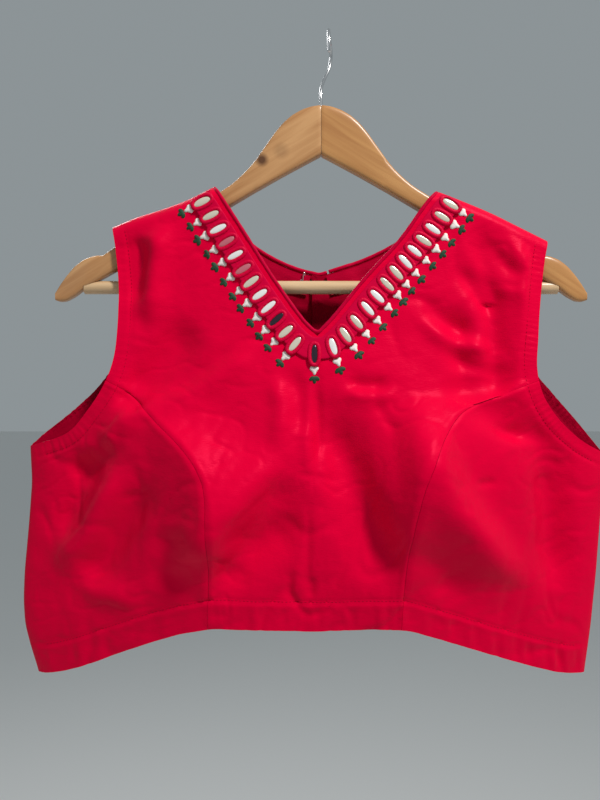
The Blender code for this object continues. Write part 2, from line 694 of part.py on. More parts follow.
for side, tag in ((0, "left"), (1, "right")):
    rings = [wood_ring(d, top, low, side) for d, top, low in WOOD]
    arm = loft("hanger_arm_" + tag, rings, WOODM)
    # blind socket for the bar, from the inner side
    bpy.ops.mesh.primitive_cylinder_add(vertices=20, radius=(BAR_RADIUS + 0.3) * MM, depth=60 * MM,
                                        rotation=(0, math.pi / 2, 0),
                                        location=(((1 if side else -1) * (BAR_HALF + 0.3 - 30) + OFFSET_X) * MM, 0,
                                                  BAR_Z * MM))
    drill = bpy.context.object
    drill.name = "bar_socket_" + tag
    for c in list(drill.users_collection):
        c.objects.unlink(drill)
    if "cutters" not in bpy.data.collections:
        bpy.context.scene.collection.children.link(bpy.data.collections.new("cutters"))
    bpy.data.collections["cutters"].objects.link(drill)
    drill.hide_render, drill.display_type = True, "WIRE"
    cut = arm.modifiers.new("bar_socket", "BOOLEAN")
    cut.object, cut.operation, cut.solver = drill, "DIFFERENCE", "EXACT"
    # round hole for the hook's shank, half in each side
    bpy.ops.mesh.primitive_cylinder_add(vertices=16, radius=(WIRE_RADIUS + 0.3) * MM, depth=24 * MM,
                                        location=(OFFSET_X * MM, 0, -66.3 * MM))
    drill = bpy.context.object
    drill.name = "hook_hole_" + tag
    for c in list(drill.users_collection):
        c.objects.unlink(drill)
    bpy.data.collections["cutters"].objects.link(drill)
    drill.hide_render, drill.display_type = True, "WIRE"
    cut = arm.modifiers.new("hook_hole", "BOOLEAN")
    cut.object, cut.operation, cut.solver = drill, "DIFFERENCE", "EXACT"

bpy.ops.mesh.primitive_cylinder_add(vertices=20, radius=BAR_RADIUS * MM, depth=2 * BAR_HALF * MM,
                                    rotation=(0, math.pi / 2, 0), location=(OFFSET_X * MM, 0, BAR_Z * MM))
bar = bpy.context.object
bar.name = bar.data.name = "hanger_bar"
for c in list(bar.users_collection):
    c.objects.unlink(bar)
COLLECTION.objects.link(bar)
bar.data.materials.append(BARM)
bar.data.shade_smooth()
bar.data.set_sharp_from_angle(angle=math.radians(50))

shank = [(0.0, 0.0, -77.6), (0.0, 0.0, -68.0)]
wire = shank + [(lean, reach, z) for z, lean, reach in HOOK]
tube("hanger_hook", even(smooth_curve(wire, 400), 62), WIRE_RADIUS, STEEL, 2)
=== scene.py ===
"""Sleeveless choli blouse with mirror work on a wooden hanger: the looks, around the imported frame.

Tables are in millimetres from the hanger's centre line, as in the part's own design; place() turns them
into the frame's metres.  A point of the cloth is (turn, height): turn runs over the front from 0 at the
left side seam to pi at the right edge, and over the back to 2 pi.
"""
import math
import random

import bmesh
import bpy
import numpy as np
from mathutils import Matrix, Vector


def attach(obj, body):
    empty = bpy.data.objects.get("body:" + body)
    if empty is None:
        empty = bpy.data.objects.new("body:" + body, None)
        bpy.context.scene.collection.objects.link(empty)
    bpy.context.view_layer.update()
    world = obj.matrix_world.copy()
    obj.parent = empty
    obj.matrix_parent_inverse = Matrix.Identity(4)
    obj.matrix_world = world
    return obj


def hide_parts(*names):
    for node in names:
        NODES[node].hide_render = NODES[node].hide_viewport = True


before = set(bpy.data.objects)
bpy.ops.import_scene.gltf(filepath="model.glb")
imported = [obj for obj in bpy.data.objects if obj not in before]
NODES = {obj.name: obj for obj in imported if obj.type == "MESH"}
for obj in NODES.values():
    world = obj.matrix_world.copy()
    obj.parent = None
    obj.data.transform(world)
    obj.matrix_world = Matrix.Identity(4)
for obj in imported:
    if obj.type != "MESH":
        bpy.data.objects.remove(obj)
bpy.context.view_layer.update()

MM = 0.001
OFFSET_X = -6.5
CLOTH = 1.25              # the shown wall
HEM_DEPTH = 23.0
SHOULDER_ROLL = 10.0
SIDE_DEPTH = 14.5
LAP_OVER, LAP_UNDER, LAP_DROP = 6.0, 7.0, 3.2
SEAM_PULL = 0.12
rng = np.random.default_rng(11)
random.seed(11)


def place(p):
    """Table millimetres to the frame's metres."""
    p = np.asarray(p, dtype=float)
    return (p + np.array([OFFSET_X, 0.0, 0.0])) * MM


# ------------------------------------------------------------------ sizes, mm
# side edges of the blouse: height, left edge, right edge
SIDES = [
    (-100.0, -241.0, 234.0),
    (-343.0, -241.9, 235.0),
    (-372.0, -240.4, 235.0),
    (-405.0, -242.8, 232.0),
    (-447.0, -246.6, 228.8),
    (-470.0, -247.4, 226.4),
    (-490.0, -246.2, 224.4),
    (-508.0, -241.6, 222.0),
    (-530.0, -234.7, 218.8),
    (-548.0, -231.0, 217.0),
]
# shoulder line from the neck point out to the tip: left x, left z, right x, right z
SHOULDER = [
    (-90.0, -128.8, 97.4, -132.4),
    (-110.0, -138.8, 118.0, -140.4),
    (-131.0, -146.6, 141.0, -150.0),
    (-152.0, -153.2, 164.0, -161.2),
    (-172.4, -161.5, 187.2, -172.6),
]
# the V, from the neck point down to the tip: left x, left z, right x, right z
V_NECK = [
    (-90.0, -128.8, 97.4, -132.4),
    (-82.4, -140.8, 85.2, -147.2),
    (-65.4, -167.2, 64.8, -175.6),
    (-40.0, -207.2, 37.0, -206.0),
    (-16.6, -240.2, 10.6, -238.4),
    (-3.6, -253.0, -3.6, -253.0),
]
# the round back neck, from the neck point to the centre back: left x, left z, right x, right z
BACK_NECK = [
    (-90.0, -128.8, 97.4, -132.4),
    (-86.4, -140.6, 94.4, -141.0),
    (-79.0, -154.0, 86.6, -153.6),
    (-66.0, -169.0, 71.0, -169.6),
    (-44.0, -184.2, 46.0, -183.4),
    (-20.0, -194.8, 22.0, -192.6),
    (0.0, -199.4, 0.0, -199.4),
]
# armholes: share of the way down from the shoulder tip to the underarm, then the edge's x on each panel
ARMHOLES = [
    # drop  front_left back_left front_right back_right
    (0.00, -172.4, -172.4, 187.2, 187.2),
    (0.08, -169.4, -172.2, 184.0, 187.6),
    (0.27, -166.2, -171.0, 179.3, 184.8),
    (0.45, -166.0, -170.4, 176.0, 182.0),
    (0.60, -168.4, -173.6, 174.2, 181.0),
    (0.72, -175.8, -187.2, 179.0, 196.0),
    (0.84, -190.4, -209.0, 193.6, 213.5),
    (0.94, -208.6, -231.0, 214.0, 227.0),
    (1.00, -241.9, -241.9, 234.9, 234.9),
]
ARMHOLE_TOP = (-161.5, -172.6)        # left, right
UNDERARM = (-342.8, -348.6)           # left, right
PRINCESS_DROP = (0.70, 0.66)          # where each princess seam leaves its armhole
# princess seams below the armhole: left x, left z, right x, right z
PRINCESS = [
    (-154.2, -299.8, 144.0, -300.2),
    (-131.0, -321.8, 113.0, -312.4),
    (-111.9, -339.3, 94.0, -334.4),
    (-98.0, -356.6, 82.4, -356.0),
    (-90.4, -377.0, 74.6, -377.0),
    (-88.0, -411.0, 69.2, -411.0),
    (-88.9, -447.0, 65.0, -446.0),
    (-91.4, -484.2, 61.8, -484.2),
]
# lower edge: share of the way from the centre to the side, height left, height right
HEM_CENTRE, HEM_SIDES = -10.0, (-234.7, 218.8)
HEM = [
    (0.00, -486.8, -486.8),
    (0.20, -485.4, -485.0),
    (0.34, -484.4, -485.2),
    (0.46, -489.6, -494.6),
    (0.58, -498.4, -504.0),
    (0.70, -508.4, -513.4),
    (0.82, -519.0, -522.2),
    (0.92, -526.4, -528.6),
    (1.00, -530.2, -530.4),
]
# fullness beyond SIDE_DEPTH at each height: front middle, left cup, right cup, back
FULLNESS = [
    (-100.0, 0.0, 0.0, 0.0, 0.0),
    (-200.0, 2.0, 0.0, 0.0, 4.0),
    (-250.0, 8.0, 3.0, 3.0, 7.0),
    (-300.0, 18.0, 12.0, 11.0, 9.0),
    (-340.0, 26.0, 23.0, 22.0, 10.0),
    (-365.0, 28.0, 29.0, 29.0, 11.0),
    (-385.0, 29.0, 29.0, 29.0, 11.0),
    (-420.0, 28.0, 22.0, 22.0, 11.0),
    (-450.0, 26.0, 12.0, 12.0, 11.0),
    (-485.0, 24.0, 4.0, 4.0, 10.0),
    (-530.0, 20.0, 2.0, 2.0, 10.0),
]
CUP_INNER, CUP_OUTER, CUP_ROUND = 66.0, 120.0, 5.0    # reach of a cup to each side of its seam, and its nose

# hanger halves: distance from the glued centre, height of the top edge, height of the lower edge
WOOD = [
    (0.15, -60.2, -101.8),
    (8.0, -61.2, -105.9),
    (16.0, -63.9, -110.2),
    (24.0, -68.4, -114.5),
    (31.0, -74.4, -118.3),
    (38.0, -82.6, -122.2),
    (45.0, -92.6, -126.1),
    (52.0, -102.6, -130.1),
    (59.0, -111.6, -134.2),
    (67.0, -119.8, -138.9),
    (76.0, -127.4, -144.2),
    (90.0, -136.2, -152.6),
    (112.0, -147.8, -164.8),
    (142.0, -162.2, -181.4),
    (168.0, -176.2, -196.2),
    (176.0, -181.4, -200.8),
    (180.4, -185.0, -203.2),
    (184.6, -184.6, -205.6),
    (190.0, -185.6, -208.8),
    (197.0, -188.4, -213.0),
    (204.0, -193.6, -218.4),
    (211.0, -201.6, -222.4),
    (217.0, -210.2, -223.0),
    (220.0, -216.4, -221.6),
]
# hook wire: height, sideways lean from the centre line, reach out of the hanger's plane
HOOK = [
    (-60.0, 0.0, 0.0),
    (-52.0, -0.2, 0.2),
    (-45.0, 0.2, 2.6),
    (-38.0, 1.6, 8.0),
    (-30.0, 4.2, 14.4),
    (-22.0, 7.2, 18.4),
    (-13.5, 8.9, 19.2),
    (-6.0, 8.6, 15.6),
    (-0.6, 7.4, 8.8),
    (1.6, 6.5, 0.0),
    (-0.6, 6.0, -9.2),
    (-6.6, 5.8, -15.8),
    (-14.4, 5.9, -18.4),
    (-22.4, 6.1, -17.2),
]


BAR_RADIUS, BAR_HALF, BAR_Z, WIRE_RADIUS = 5.5, 196.5, -211.0, 1.4


# ------------------------------------------------------------------ curves
def smooth_curve(rows, count=240):
    """A Catmull-Rom curve through the rows, as points evenly spaced along it."""
    p = np.array(rows, dtype=float)
    ends = np.vstack([2 * p[0] - p[1], p, 2 * p[-1] - p[-2]])
    out = []
    for k in range(1, len(ends) - 2):
        a, b, c, d = ends[k - 1:k + 3]
        t = np.linspace(0, 1, 24, endpoint=False)[:, None]
        out.append(0.5 * (2 * b + (c - a) * t + (2 * a - 5 * b + 4 * c - d) * t ** 2
                          + (3 * b - a - 3 * c + d) * t ** 3))
    dense = np.vstack(out + [p[-1:]])
    run = np.concatenate([[0], np.cumsum(np.linalg.norm(np.diff(dense, axis=0), axis=1))])
    at = np.linspace(0, run[-1], count)
    return np.stack([np.interp(at, run, dense[:, k]) for k in range(dense.shape[1])], axis=1)


def along(curve, t):
    """Points of a curve at shares t of its length."""
    s = np.linspace(0, 1, len(curve))
    return np.stack([np.interp(t, s, curve[:, k]) for k in range(curve.shape[1])], axis=-1)


def by_height(table, column, z):
    t = np.array(table)[::-1]
    return np.interp(z, t[:, 0], t[:, column])


def easy(t):
    t = np.clip(t, 0, 1)
    return t * t * (3 - 2 * t)


def smoothed(table, column, z, reach=9.0):
    """by_height with its corners rounded off over twice the reach."""
    return sum(w * by_height(table, column, z + k * reach)
               for k, w in ((-1, 0.18), (-0.5, 0.2), (0, 0.24), (0.5, 0.2), (1, 0.18)))


# ------------------------------------------------------------------ the blouse's surface
def sides(z):
    left, right = smoothed(SIDES, 1, z, 6.0), smoothed(SIDES, 2, z, 6.0)
    return (left + right) / 2, (right - left) / 2


SHOULDER_LINE = [smooth_curve([(r[k], r[k + 1]) for r in SHOULDER]) for k in (0, 2)]


def shoulder_height(x):
    left, right = SHOULDER_LINE
    l = np.interp(-x, -left[:, 0], left[:, 1])
    r = np.interp(x, right[:, 0], right[:, 1])
    return np.where(x < 0, l, r)


ARM = {}
for side in (0, 1):
    for face, column in (("front", 1 + 2 * side), ("back", 2 + 2 * side)):
        top, low = ARMHOLE_TOP[side], UNDERARM[side]
        ARM[face, side] = smooth_curve([(r[column], top + (low - top) * r[0]) for r in ARMHOLES])
V_EDGE = [smooth_curve([(r[k], r[k + 1]) for r in V_NECK]) for k in (0, 2)]
NECK_EDGE = [smooth_curve([(r[k], r[k + 1]) for r in BACK_NECK]) for k in (0, 2)]


def share_at_height(curve, z):
    return float(np.interp(-z, -curve[:, 1], np.linspace(0, 1, len(curve))))


SEAM_START, SEAM = [], []
for side in (0, 1):
    z = ARMHOLE_TOP[side] + (UNDERARM[side] - ARMHOLE_TOP[side]) * PRINCESS_DROP[side]
    share = share_at_height(ARM["front", side], z)
    start = along(ARM["front", side], share)
    SEAM_START.append(share)
    rows = [tuple(start)] + [(r[2 * side], r[2 * side + 1]) for r in PRINCESS]
    SEAM.append(smooth_curve(rows))


def seam_x(side, z):
    c = SEAM[side]
    return np.interp(-z, -c[:, 1], c[:, 0])


def hem_height(x):
    t = np.array(HEM)
    share_l = np.clip((HEM_CENTRE - x) / (HEM_CENTRE - HEM_SIDES[0]), 0, 1)
    share_r = np.clip((x - HEM_CENTRE) / (HEM_SIDES[1] - HEM_CENTRE), 0, 1)
    wide = [(-0.03, 0.25), (0.0, 0.5), (0.03, 0.25)]
    l = sum(w * np.interp(np.abs(share_l + k), t[:, 0], t[:, 1]) for k, w in wide)
    r = sum(w * np.interp(np.abs(share_r + k), t[:, 0], t[:, 2]) for k, w in wide)
    return np.where(x < HEM_CENTRE, l, r)


def cup(side, x, z):
    """How much of a cup's fullness reaches x: a soft nose on the princess seam, falling away to both sides."""
    d = x - seam_x(side, z)
    outward = -d if side == 0 else d
    reach = np.where(outward > 0, CUP_OUTER, CUP_INNER)
    u = np.clip((np.sqrt(d * d + CUP_ROUND ** 2) - CUP_ROUND) / reach, 0, 1)
    return (1 - u) ** 1.7


def edge_share(x, z):
    middle, half = sides(z)
    s = np.clip((x - middle) / half, -1, 1)
    return np.sqrt(1 - s * s)


def shoulder_share(x, z):
    drop = np.clip((shoulder_height(x) - z) / SHOULDER_ROLL, 0, 1)
    return np.sqrt(1 - (1 - drop) ** 2)


def depth_front(x, z):
    e = edge_share(x, z)
    full = (smoothed(FULLNESS, 1, z, 18) + smoothed(FULLNESS, 2, z, 18) * cup(0, x, z)
            + smoothed(FULLNESS, 3, z, 18) * cup(1, x, z))
    return shoulder_share(x, z) * (SIDE_DEPTH * e + full * e ** 2.2)


def depth_back(x, z):
    e = edge_share(x, z)
    return shoulder_share(x, z) * (SIDE_DEPTH * e + smoothed(FULLNESS, 4, z, 18) * e ** 2.2)


def turn_of(x, z, back=False):
    middle, half = sides(z)
    t = np.arccos(np.clip(-(x - middle) / half, -1, 1))
    return 2 * math.pi - t if back else t


def x_of(turn, z):
    middle, half = sides(z)
    return middle - half * np.cos(turn)


def point(turn, z, under=False):
    """The outside of the cloth.  under gives the underlap, which drops in behind the overlap."""
    x = x_of(turn, z)
    front = np.mod(turn, 2 * math.pi) <= math.pi
    y = np.where(front, -depth_front(x, z), depth_back(x, z))
    if under:
        y = y - np.where(front, 0, LAP_DROP * easy((34 - x) / 16))
    return np.stack([x, y, z], axis=-1)


def outward(turn, z, under=False):
    """The cloth's outward direction, measured over small steps of the surface."""
    across = point(turn + 0.004, z, under) - point(turn - 0.004, z, under)
    up = point(turn, z, under) - point(turn, z - 0.6, under)
    n = np.cross(across, up)
    n /= np.linalg.norm(n, axis=-1, keepdims=True)
    x = x_of(turn, z)
    slope = (shoulder_height(x + 1) - shoulder_height(x - 1)) / 2
    ridge = np.stack([-slope, 0 * x, 1 + 0 * x], axis=-1)
    ridge /= np.linalg.norm(ridge, axis=-1, keepdims=True)
    on_ridge = (shoulder_height(x) - z < 0.25)[..., None]
    return np.where(on_ridge, ridge, n)


def coons(top, bottom, first, last, shares=None):
    """Rows and columns between four edge curves; first and last run down the patch's two sides."""
    v = np.concatenate([[0], np.cumsum(np.linalg.norm(np.diff(first, axis=0), axis=1))])[:, None, None]
    v = v / v[-1]
    w = np.concatenate([[0], np.cumsum(np.linalg.norm(np.diff(last, axis=0), axis=1))])[:, None, None]
    w = w / w[-1]
    u = (np.linspace(0, 1, len(top)) if shares is None else shares)[None, :, None]
    down = v * (1 - u) + w * u
    ruled = (1 - u) * first[:, None] + u * last[:, None]
    cross = (1 - down) * top[None] + down * bottom[None]
    corner = ((1 - u) * (1 - down) * top[0] + u * (1 - down) * top[-1]
              + (1 - u) * down * bottom[0] + u * down * bottom[-1])
    return ruled + cross - corner


def flat_to_turn(curve, back=False):
    x, z = curve[..., 0], curve[..., 1]
    return np.stack([turn_of(x, z, back), z], axis=-1)


def side_line(side, z, back=False):
    turn = 0.0 if side == 0 else math.pi
    if back and side == 0:
        turn = 2 * math.pi
    return np.stack([turn + 0 * z, z], axis=-1)


def cut_seam(side):
    """The part of a princess seam between its armhole and the hem's stitched top."""
    c = SEAM[side]
    keep = c[:, 1] > hem_height(c[:, 0]) + HEM_DEPTH
    last = c[keep][-1]
    return np.vstack([c[keep], [[last[0], hem_height(last[0]) + HEM_DEPTH]]])



# ------------------------------------------------------------------ folds and creases
# name, height out of the cloth, half width, points (x, z) along it
FRONT_FOLDS = [
    ("left_side_ridge", 3.2, 15.0, [(-153, -354), (-172, -383), (-196, -420), (-221, -448)]),
    ("left_side_trough_out", -2.6, 15.0, [(-180, -345), (-199, -382), (-215, -422)]),
    ("left_side_trough_in", -3.0, 16.0, [(-135, -360), (-156, -399), (-177, -433), (-215, -463)]),
    ("left_side_nick", -1.0, 3.5, [(-162, -386), (-150, -380), (-135, -376)]),
    ("left_side_nick2", -0.9, 3.0, [(-205, -427), (-195, -416), (-186, -406)]),
    ("left_seam_top", -2.4, 10.0, [(-171, -298), (-156, -303), (-143, -314)]),
    ("left_under_arm", -2.4, 13.0, [(-212, -362), (-188, -355), (-166, -334)]),
    ("left_under_arm_ridge", 2.0, 10.0, [(-139, -306), (-162, -327), (-180, -342), (-204, -349)]),
    ("left_low_dark", -2.0, 18.0, [(-116, -399), (-118, -430), (-127, -460)]),
    ("left_low_ridge", 1.6, 12.0, [(-209, -432), (-185, -456), (-137, -464)]),
    ("chest_left_ridge", 3.4, 14.0, [(-124, -154), (-136, -182), (-143, -223), (-148, -250)]),
    ("chest_left_trough", -2.8, 16.0, [(-140, -170), (-155, -198), (-156, -235)]),
    ("chest_left_hollow", -3.6, 19.0, [(-100, -238), (-126, -272), (-146, -290), (-170, -300)]),
    ("chest_left_diag", 1.6, 12.0, [(-48, -260), (-78, -284), (-110, -304), (-130, -306)]),
    ("chest_left_diag2", -1.2, 9.0, [(-66, -260), (-98, -282), (-124, -300)]),
    ("v_left_soft", -1.4, 9.0, [(-29, -277), (-18, -301), (-18, -336)]),
    ("v_left_soft2", 1.4, 9.0, [(-40, -282), (-33, -312), (-37, -344)]),
    ("centre_fold", -2.0, 4.5, [(-5, -278), (-4, -304), (-3, -336), (-4, -365)]),
    ("centre_fold_ridge", 1.4, 6.0, [(-11, -289), (-11, -328), (-13, -363)]),
    ("press_line", -0.8, 2.6, [(-24, -362), (-3, -365), (18, -369)]),
    ("low_crease_a", -1.0, 4.0, [(-10, -383), (-11, -418), (-12, -461)]),
    ("low_crease_b", 1.0, 5.0, [(-19, -430), (-20, -461)]),
    ("low_crease_c", -0.9, 4.0, [(-25, -438), (-26, -463)]),
    ("low_crease_d", -1.5, 4.0, [(-8, -442), (-9, -461)]),
    ("v_right_trough", -2.6, 8.0, [(18, -284), (30, -292), (57, -294)]),
    ("v_right_ridge", 1.8, 8.0, [(14, -298), (38, -301), (62, -298)]),
    ("v_right_diag", -1.2, 5.0, [(40, -303), (51, -320), (59, -336)]),
    ("cup_left_under", -2.6, 20.0, [(-24, -359), (-47, -397), (-73, -432)]),
    ("cup_right_under_ridge", 1.4, 15.0, [(92, -370), (122, -406), (152, -440), (176, -464)]),
    ("right_nick", -1.4, 3.0, [(119, -371), (127, -370), (138, -369)]),
    ("right_nick2", -0.9, 4.0, [(102, -383), (112, -389)]),
    ("right_arm_crease", -1.8, 7.0, [(137, -324), (150, -330), (167, -333)]),
    ("right_arm_crease2", 1.4, 7.0, [(142, -337), (159, -341), (182, -340)]),
    ("chest_r_a", -2.4, 8.0, [(109, -192), (126, -215), (145, -233)]),
    ("chest_r_b", 1.2, 8.0, [(121, -184), (139, -205), (163, -223)]),
    ("chest_r_c", -2.0, 7.0, [(133, -172), (150, -192), (170, -210)]),
    ("chest_r_d", -2.2, 9.0, [(80, -223), (102, -241), (133, -253)]),
    ("chest_r_e", 2.0, 8.0, [(77, -238), (104, -257), (145, -266)]),
    ("chest_r_f", -1.8, 8.0, [(96, -264), (128, -279), (164, -282)]),
    ("chest_r_g", -2.2, 10.0, [(93, -301), (127, -293), (161, -291)]),
    # the broad masses: the valley between the cups, their undersides, the long drag lines to the sides
    ("valley", -5.4, 20.0, [(1, -296), (14, -335), (26, -382), (45, -428), (67, -462)]),
    ("left_cup_crest", 3.0, 18.0, [(-22, -334), (-56, -374), (-92, -410), (-136, -446)]),
    ("left_cup_under", -3.4, 16.0, [(-10, -392), (-50, -424), (-88, -462)]),
    ("right_cup_crest", 4.4, 22.0, [(66, -290), (76, -326), (84, -359), (102, -394), (132, -429), (166, -463)]),
    ("right_cup_under", -1.2, 16.0, [(62, -410), (90, -440), (120, -468)]),
    ("right_side_hollow", -4.2, 17.0, [(182, -338), (188, -384), (191, -430), (194, -466)]),
    ("chest_right_valley", -1.8, 11.0, [(106, -220), (111, -262), (116, -300)]),
    ("chest_right_crest", 2.6, 12.0, [(154, -160), (165, -200), (171, -246), (174, -300)]),
    ("chest_right_dark", -2.6, 11.0, [(126, -158), (134, -195), (140, -240), (142, -282), (146, -310)]),
    ("under_right_arm", -2.8, 17.0, [(104, -298), (134, -314), (168, -334), (200, -358)]),
    ("under_v_dark", -1.2, 14.0, [(-4, -292), (0, -330), (16, -352)]),
    ("chest_left_dark", -1.8, 12.0, [(-152, -168), (-150, -206), (-146, -262)]),
]
BACK_FOLDS = [
    ("left_drag", -2.4, 15.0, [(-160, -300), (-120, -330), (-60, -352)]),
    ("left_drag_ridge", 2.2, 13.0, [(-170, -322), (-128, -352), (-70, -372)]),
    ("left_dart", -1.3, 3.0, [(-78, -382), (-80, -430), (-83, -484)]),
    ("right_dart", -1.3, 3.0, [(64, -382), (66, -430), (68, -484)]),
    ("right_drag", -2.2, 16.0, [(165, -302), (118, -336), (58, -350)]),
    ("right_drag_ridge", 1.9, 12.0, [(176, -330), (130, -362), (66, -372)]),
    ("left_shoulder", -1.8, 12.0, [(-110, -160), (-126, -205), (-138, -250)]),
    ("left_shoulder_ridge", 1.8, 12.0, [(-134, -168), (-148, -214), (-152, -262)]),
    ("right_shoulder", -1.7, 11.0, [(118, -162), (136, -204), (150, -246)]),
    ("left_low", 1.8, 14.0, [(-120, -400), (-160, -432), (-205, -452)]),
    ("right_low", 2.0, 15.0, [(104, -404), (150, -440), (196, -458)]),
    ("waist_a", -1.3, 8.0, [(-60, -400), (-20, -408), (-8, -410)]),
    ("waist_b", -1.2, 7.0, [(14, -392), (44, -398), (66, -404)]),
    ("neck_pull", -1.2, 7.0, [(-30, -222), (-44, -250), (-48, -280)]),
    ("neck_pull_r", -1.2, 8.0, [(34, -222), (46, -246), (52, -276)]),
]


def stroke_height(x, z, fold):
    """A soft ridge or trough along its points, fading out towards both ends."""
    _, high, wide, pts = fold
    run = smooth_curve(pts, 26)
    low, top = run.min(axis=0) - 2.4 * wide, run.max(axis=0) + 2.4 * wide
    here = (x > low[0]) & (x < top[0]) & (z > low[1]) & (z < top[1])
    whole, x, z = np.zeros(x.shape), x[here], z[here]
    best = np.full(x.shape, 1e9)
    at = np.zeros(x.shape)
    for k in range(len(run) - 1):
        a, b = run[k], run[k + 1]
        d = b - a
        t = np.clip(((x - a[0]) * d[0] + (z - a[1]) * d[1]) / (d @ d), 0, 1)
        far = (x - a[0] - t * d[0]) ** 2 + (z - a[1] - t * d[1]) ** 2
        near = far < best
        best = np.where(near, far, best)
        at = np.where(near, (k + t) / (len(run) - 1), at)
    ends = np.clip(np.minimum(at, 1 - at) * 3.2, 0, 1)
    ends = 0.12 + 0.88 * ends * ends * (3 - 2 * ends)
    whole[here] = (1.2 + 1.4 * easy((wide - 5) / 7)) * high * ends * np.exp(-best / (2 * (wide * 0.62) ** 2))
    return whole


def wobble(x, z, seed, size, count=24):
    """Smooth low waves in mixed directions: the small unevenness of hanging cloth."""
    r = np.random.default_rng(seed)
    out = np.zeros(x.shape)
    for _ in range(count):
        angle, phase = r.uniform(0, math.pi), r.uniform(0, 2 * math.pi)
        wave = size * r.uniform(0.6, 1.9)
        out += r.normal() * np.sin((x * math.cos(angle) + z * math.sin(angle)) * 2 * math.pi / wave + phase)
    return out / math.sqrt(count)


def crinkle(x, z, seed, size, high):
    """Thin soft crease lines that wander and fade, as in cloth that has been folded away."""
    w = wobble(x, z, seed, size)
    fade = 0.5 + 0.5 * np.tanh(1.6 * wobble(x, z, seed + 1, size * 2.2))
    return -high * fade * np.exp(-(w / 0.16) ** 2)


def edge_distance(curve, x, z):
    """Distance to an edge curve, and the share of its length at the nearest point."""
    best = np.full(x.shape, 1e9)
    at = np.zeros(x.shape)
    c = along(curve, np.linspace(0, 1, 60))
    for k in range(len(c) - 1):
        a, d = c[k], c[k + 1] - c[k]
        t = np.clip(((x - a[0]) * d[0] + (z - a[1]) * d[1]) / max(d @ d, 1e-9), 0, 1)
        far = (x - a[0] - t * d[0]) ** 2 + (z - a[1] - t * d[1]) ** 2
        near = far < best
        best = np.where(near, far, best)
        at = np.where(near, (k + t) / (len(c) - 1), at)
    return np.sqrt(best), at


def even(curve, count):
    run = np.concatenate([[0], np.cumsum(np.linalg.norm(np.diff(curve, axis=0), axis=1))])
    at = np.linspace(0, run[-1], count)
    return np.stack([np.interp(at, run, curve[:, k]) for k in range(curve.shape[1])], axis=1)


V_WHOLE = even(np.vstack([V_EDGE[0][:-5], V_EDGE[1][::-1][5:]]), 400)
ARM_BAND = 10.5            # width of the turned armhole edge


def seam_groove(d, wide=1.7, deep=0.55):
    return -deep * np.exp(-(d / wide) ** 2)


def relief_front(x, z):
    out = np.zeros(x.shape)
    for fold in FRONT_FOLDS:
        out += stroke_height(x, z, fold)
    out += 0.32 * wobble(x, z, 3, 46) + 0.16 * wobble(x, z, 5, 17) + 0.05 * wobble(x, z, 6, 8)
    out += crinkle(x, z, 21, 64, 1.15) + crinkle(x, z, 23, 38, 0.75) + crinkle(x, z, 27, 24, 0.35)
    # quiet close to the free edges and the embroidered border
    dv, _ = edge_distance(V_WHOLE, x, z)
    out *= 0.25 + 0.75 * easy((dv - 16) / 22)
    for side in (0, 1):
        c = cut_seam(side)
        d, _ = edge_distance(c, x, z)
        out += seam_groove(d) + 0.35 * np.exp(-((d - 3.0) / 1.8) ** 2)
        arm = ARM["front", side]
        d, at = edge_distance(arm, x, z)
        swell = np.exp(-(d / 2.0) ** 2)
        pucker = (np.sin(at * (50 if side else 40) * 2 * math.pi + 2.6 * np.sin(at * 23))
                  + 0.7 * np.sin(at * 71 * 2 * math.pi + 3 * np.sin(at * 17))) * (0.35 + 0.65 * np.sin(at * 9 + side) ** 2)
        inside = easy(d / 3.0) * easy((ARM_BAND + 2.5 - d) / 2.5)
        out = np.where(d < 20, out * (0.35 + 0.65 * easy((d - 6) / 14)), out)
        out += 0.35 * swell - 0.75 * np.exp(-((d - ARM_BAND) / 1.3) ** 2) + (0.30 if side else 0.15) * pucker * inside
    out += hem_relief(x, z, 0)
    return out


def hem_relief(x, z, seed):
    """The turned-up hem: a stitched step, with short ripples below it."""
    up = z - hem_height(x)
    line = -0.7 * np.exp(-((up - HEM_DEPTH) / 1.3) ** 2) + 0.35 * np.exp(-((up - HEM_DEPTH + 3.5) / 2.5) ** 2)
    fold = 0.5 * easy((HEM_DEPTH - up) / 2.0)
    right = easy((x - 20) / 60) if seed == 0 else 0.7
    r = np.sin(x * 2 * math.pi / 15.5 + 2.0 * np.sin(x / 29.0 + seed)) + 0.6 * np.sin(x * 2 * math.pi / 9.0 + 1 + seed)
    ripple = (0.18 + 0.45 * right) * r * np.exp(-((up - 11) / 9.5) ** 2)
    return line + fold + ripple


def relief_back(x, z):
    out = np.zeros(x.shape)
    for fold in BACK_FOLDS:
        out += stroke_height(x, z, fold)
    out += 0.34 * wobble(x, z, 8, 50) + 0.16 * wobble(x, z, 9, 17)
    out += crinkle(x, z, 31, 66, 1.15) + crinkle(x, z, 33, 40, 0.75) + crinkle(x, z, 37, 25, 0.35)
    for side in (0, 1):
        d, at = edge_distance(ARM["back", side], x, z)
        inside = easy(d / 3.0) * easy((ARM_BAND + 2.5 - d) / 2.5)
        pucker = np.sin(at * 52 * 2 * math.pi + 1.7 * np.sin(at * 29))
        out = np.where(d < 20, out * (0.35 + 0.65 * easy((d - 6) / 14)), out)
        out += 0.35 * np.exp(-(d / 2.0) ** 2) - 0.7 * np.exp(-((d - ARM_BAND) / 1.3) ** 2) + 0.18 * pucker * inside
        d, _ = edge_distance(NECK_EDGE[side], x, z)
        out = np.where(d < 14, out * easy(d / 14), out)
        out -= 0.4 * np.exp(-((d - 6.0) / 1.0) ** 2)
    return out + hem_relief(x, z, 2)


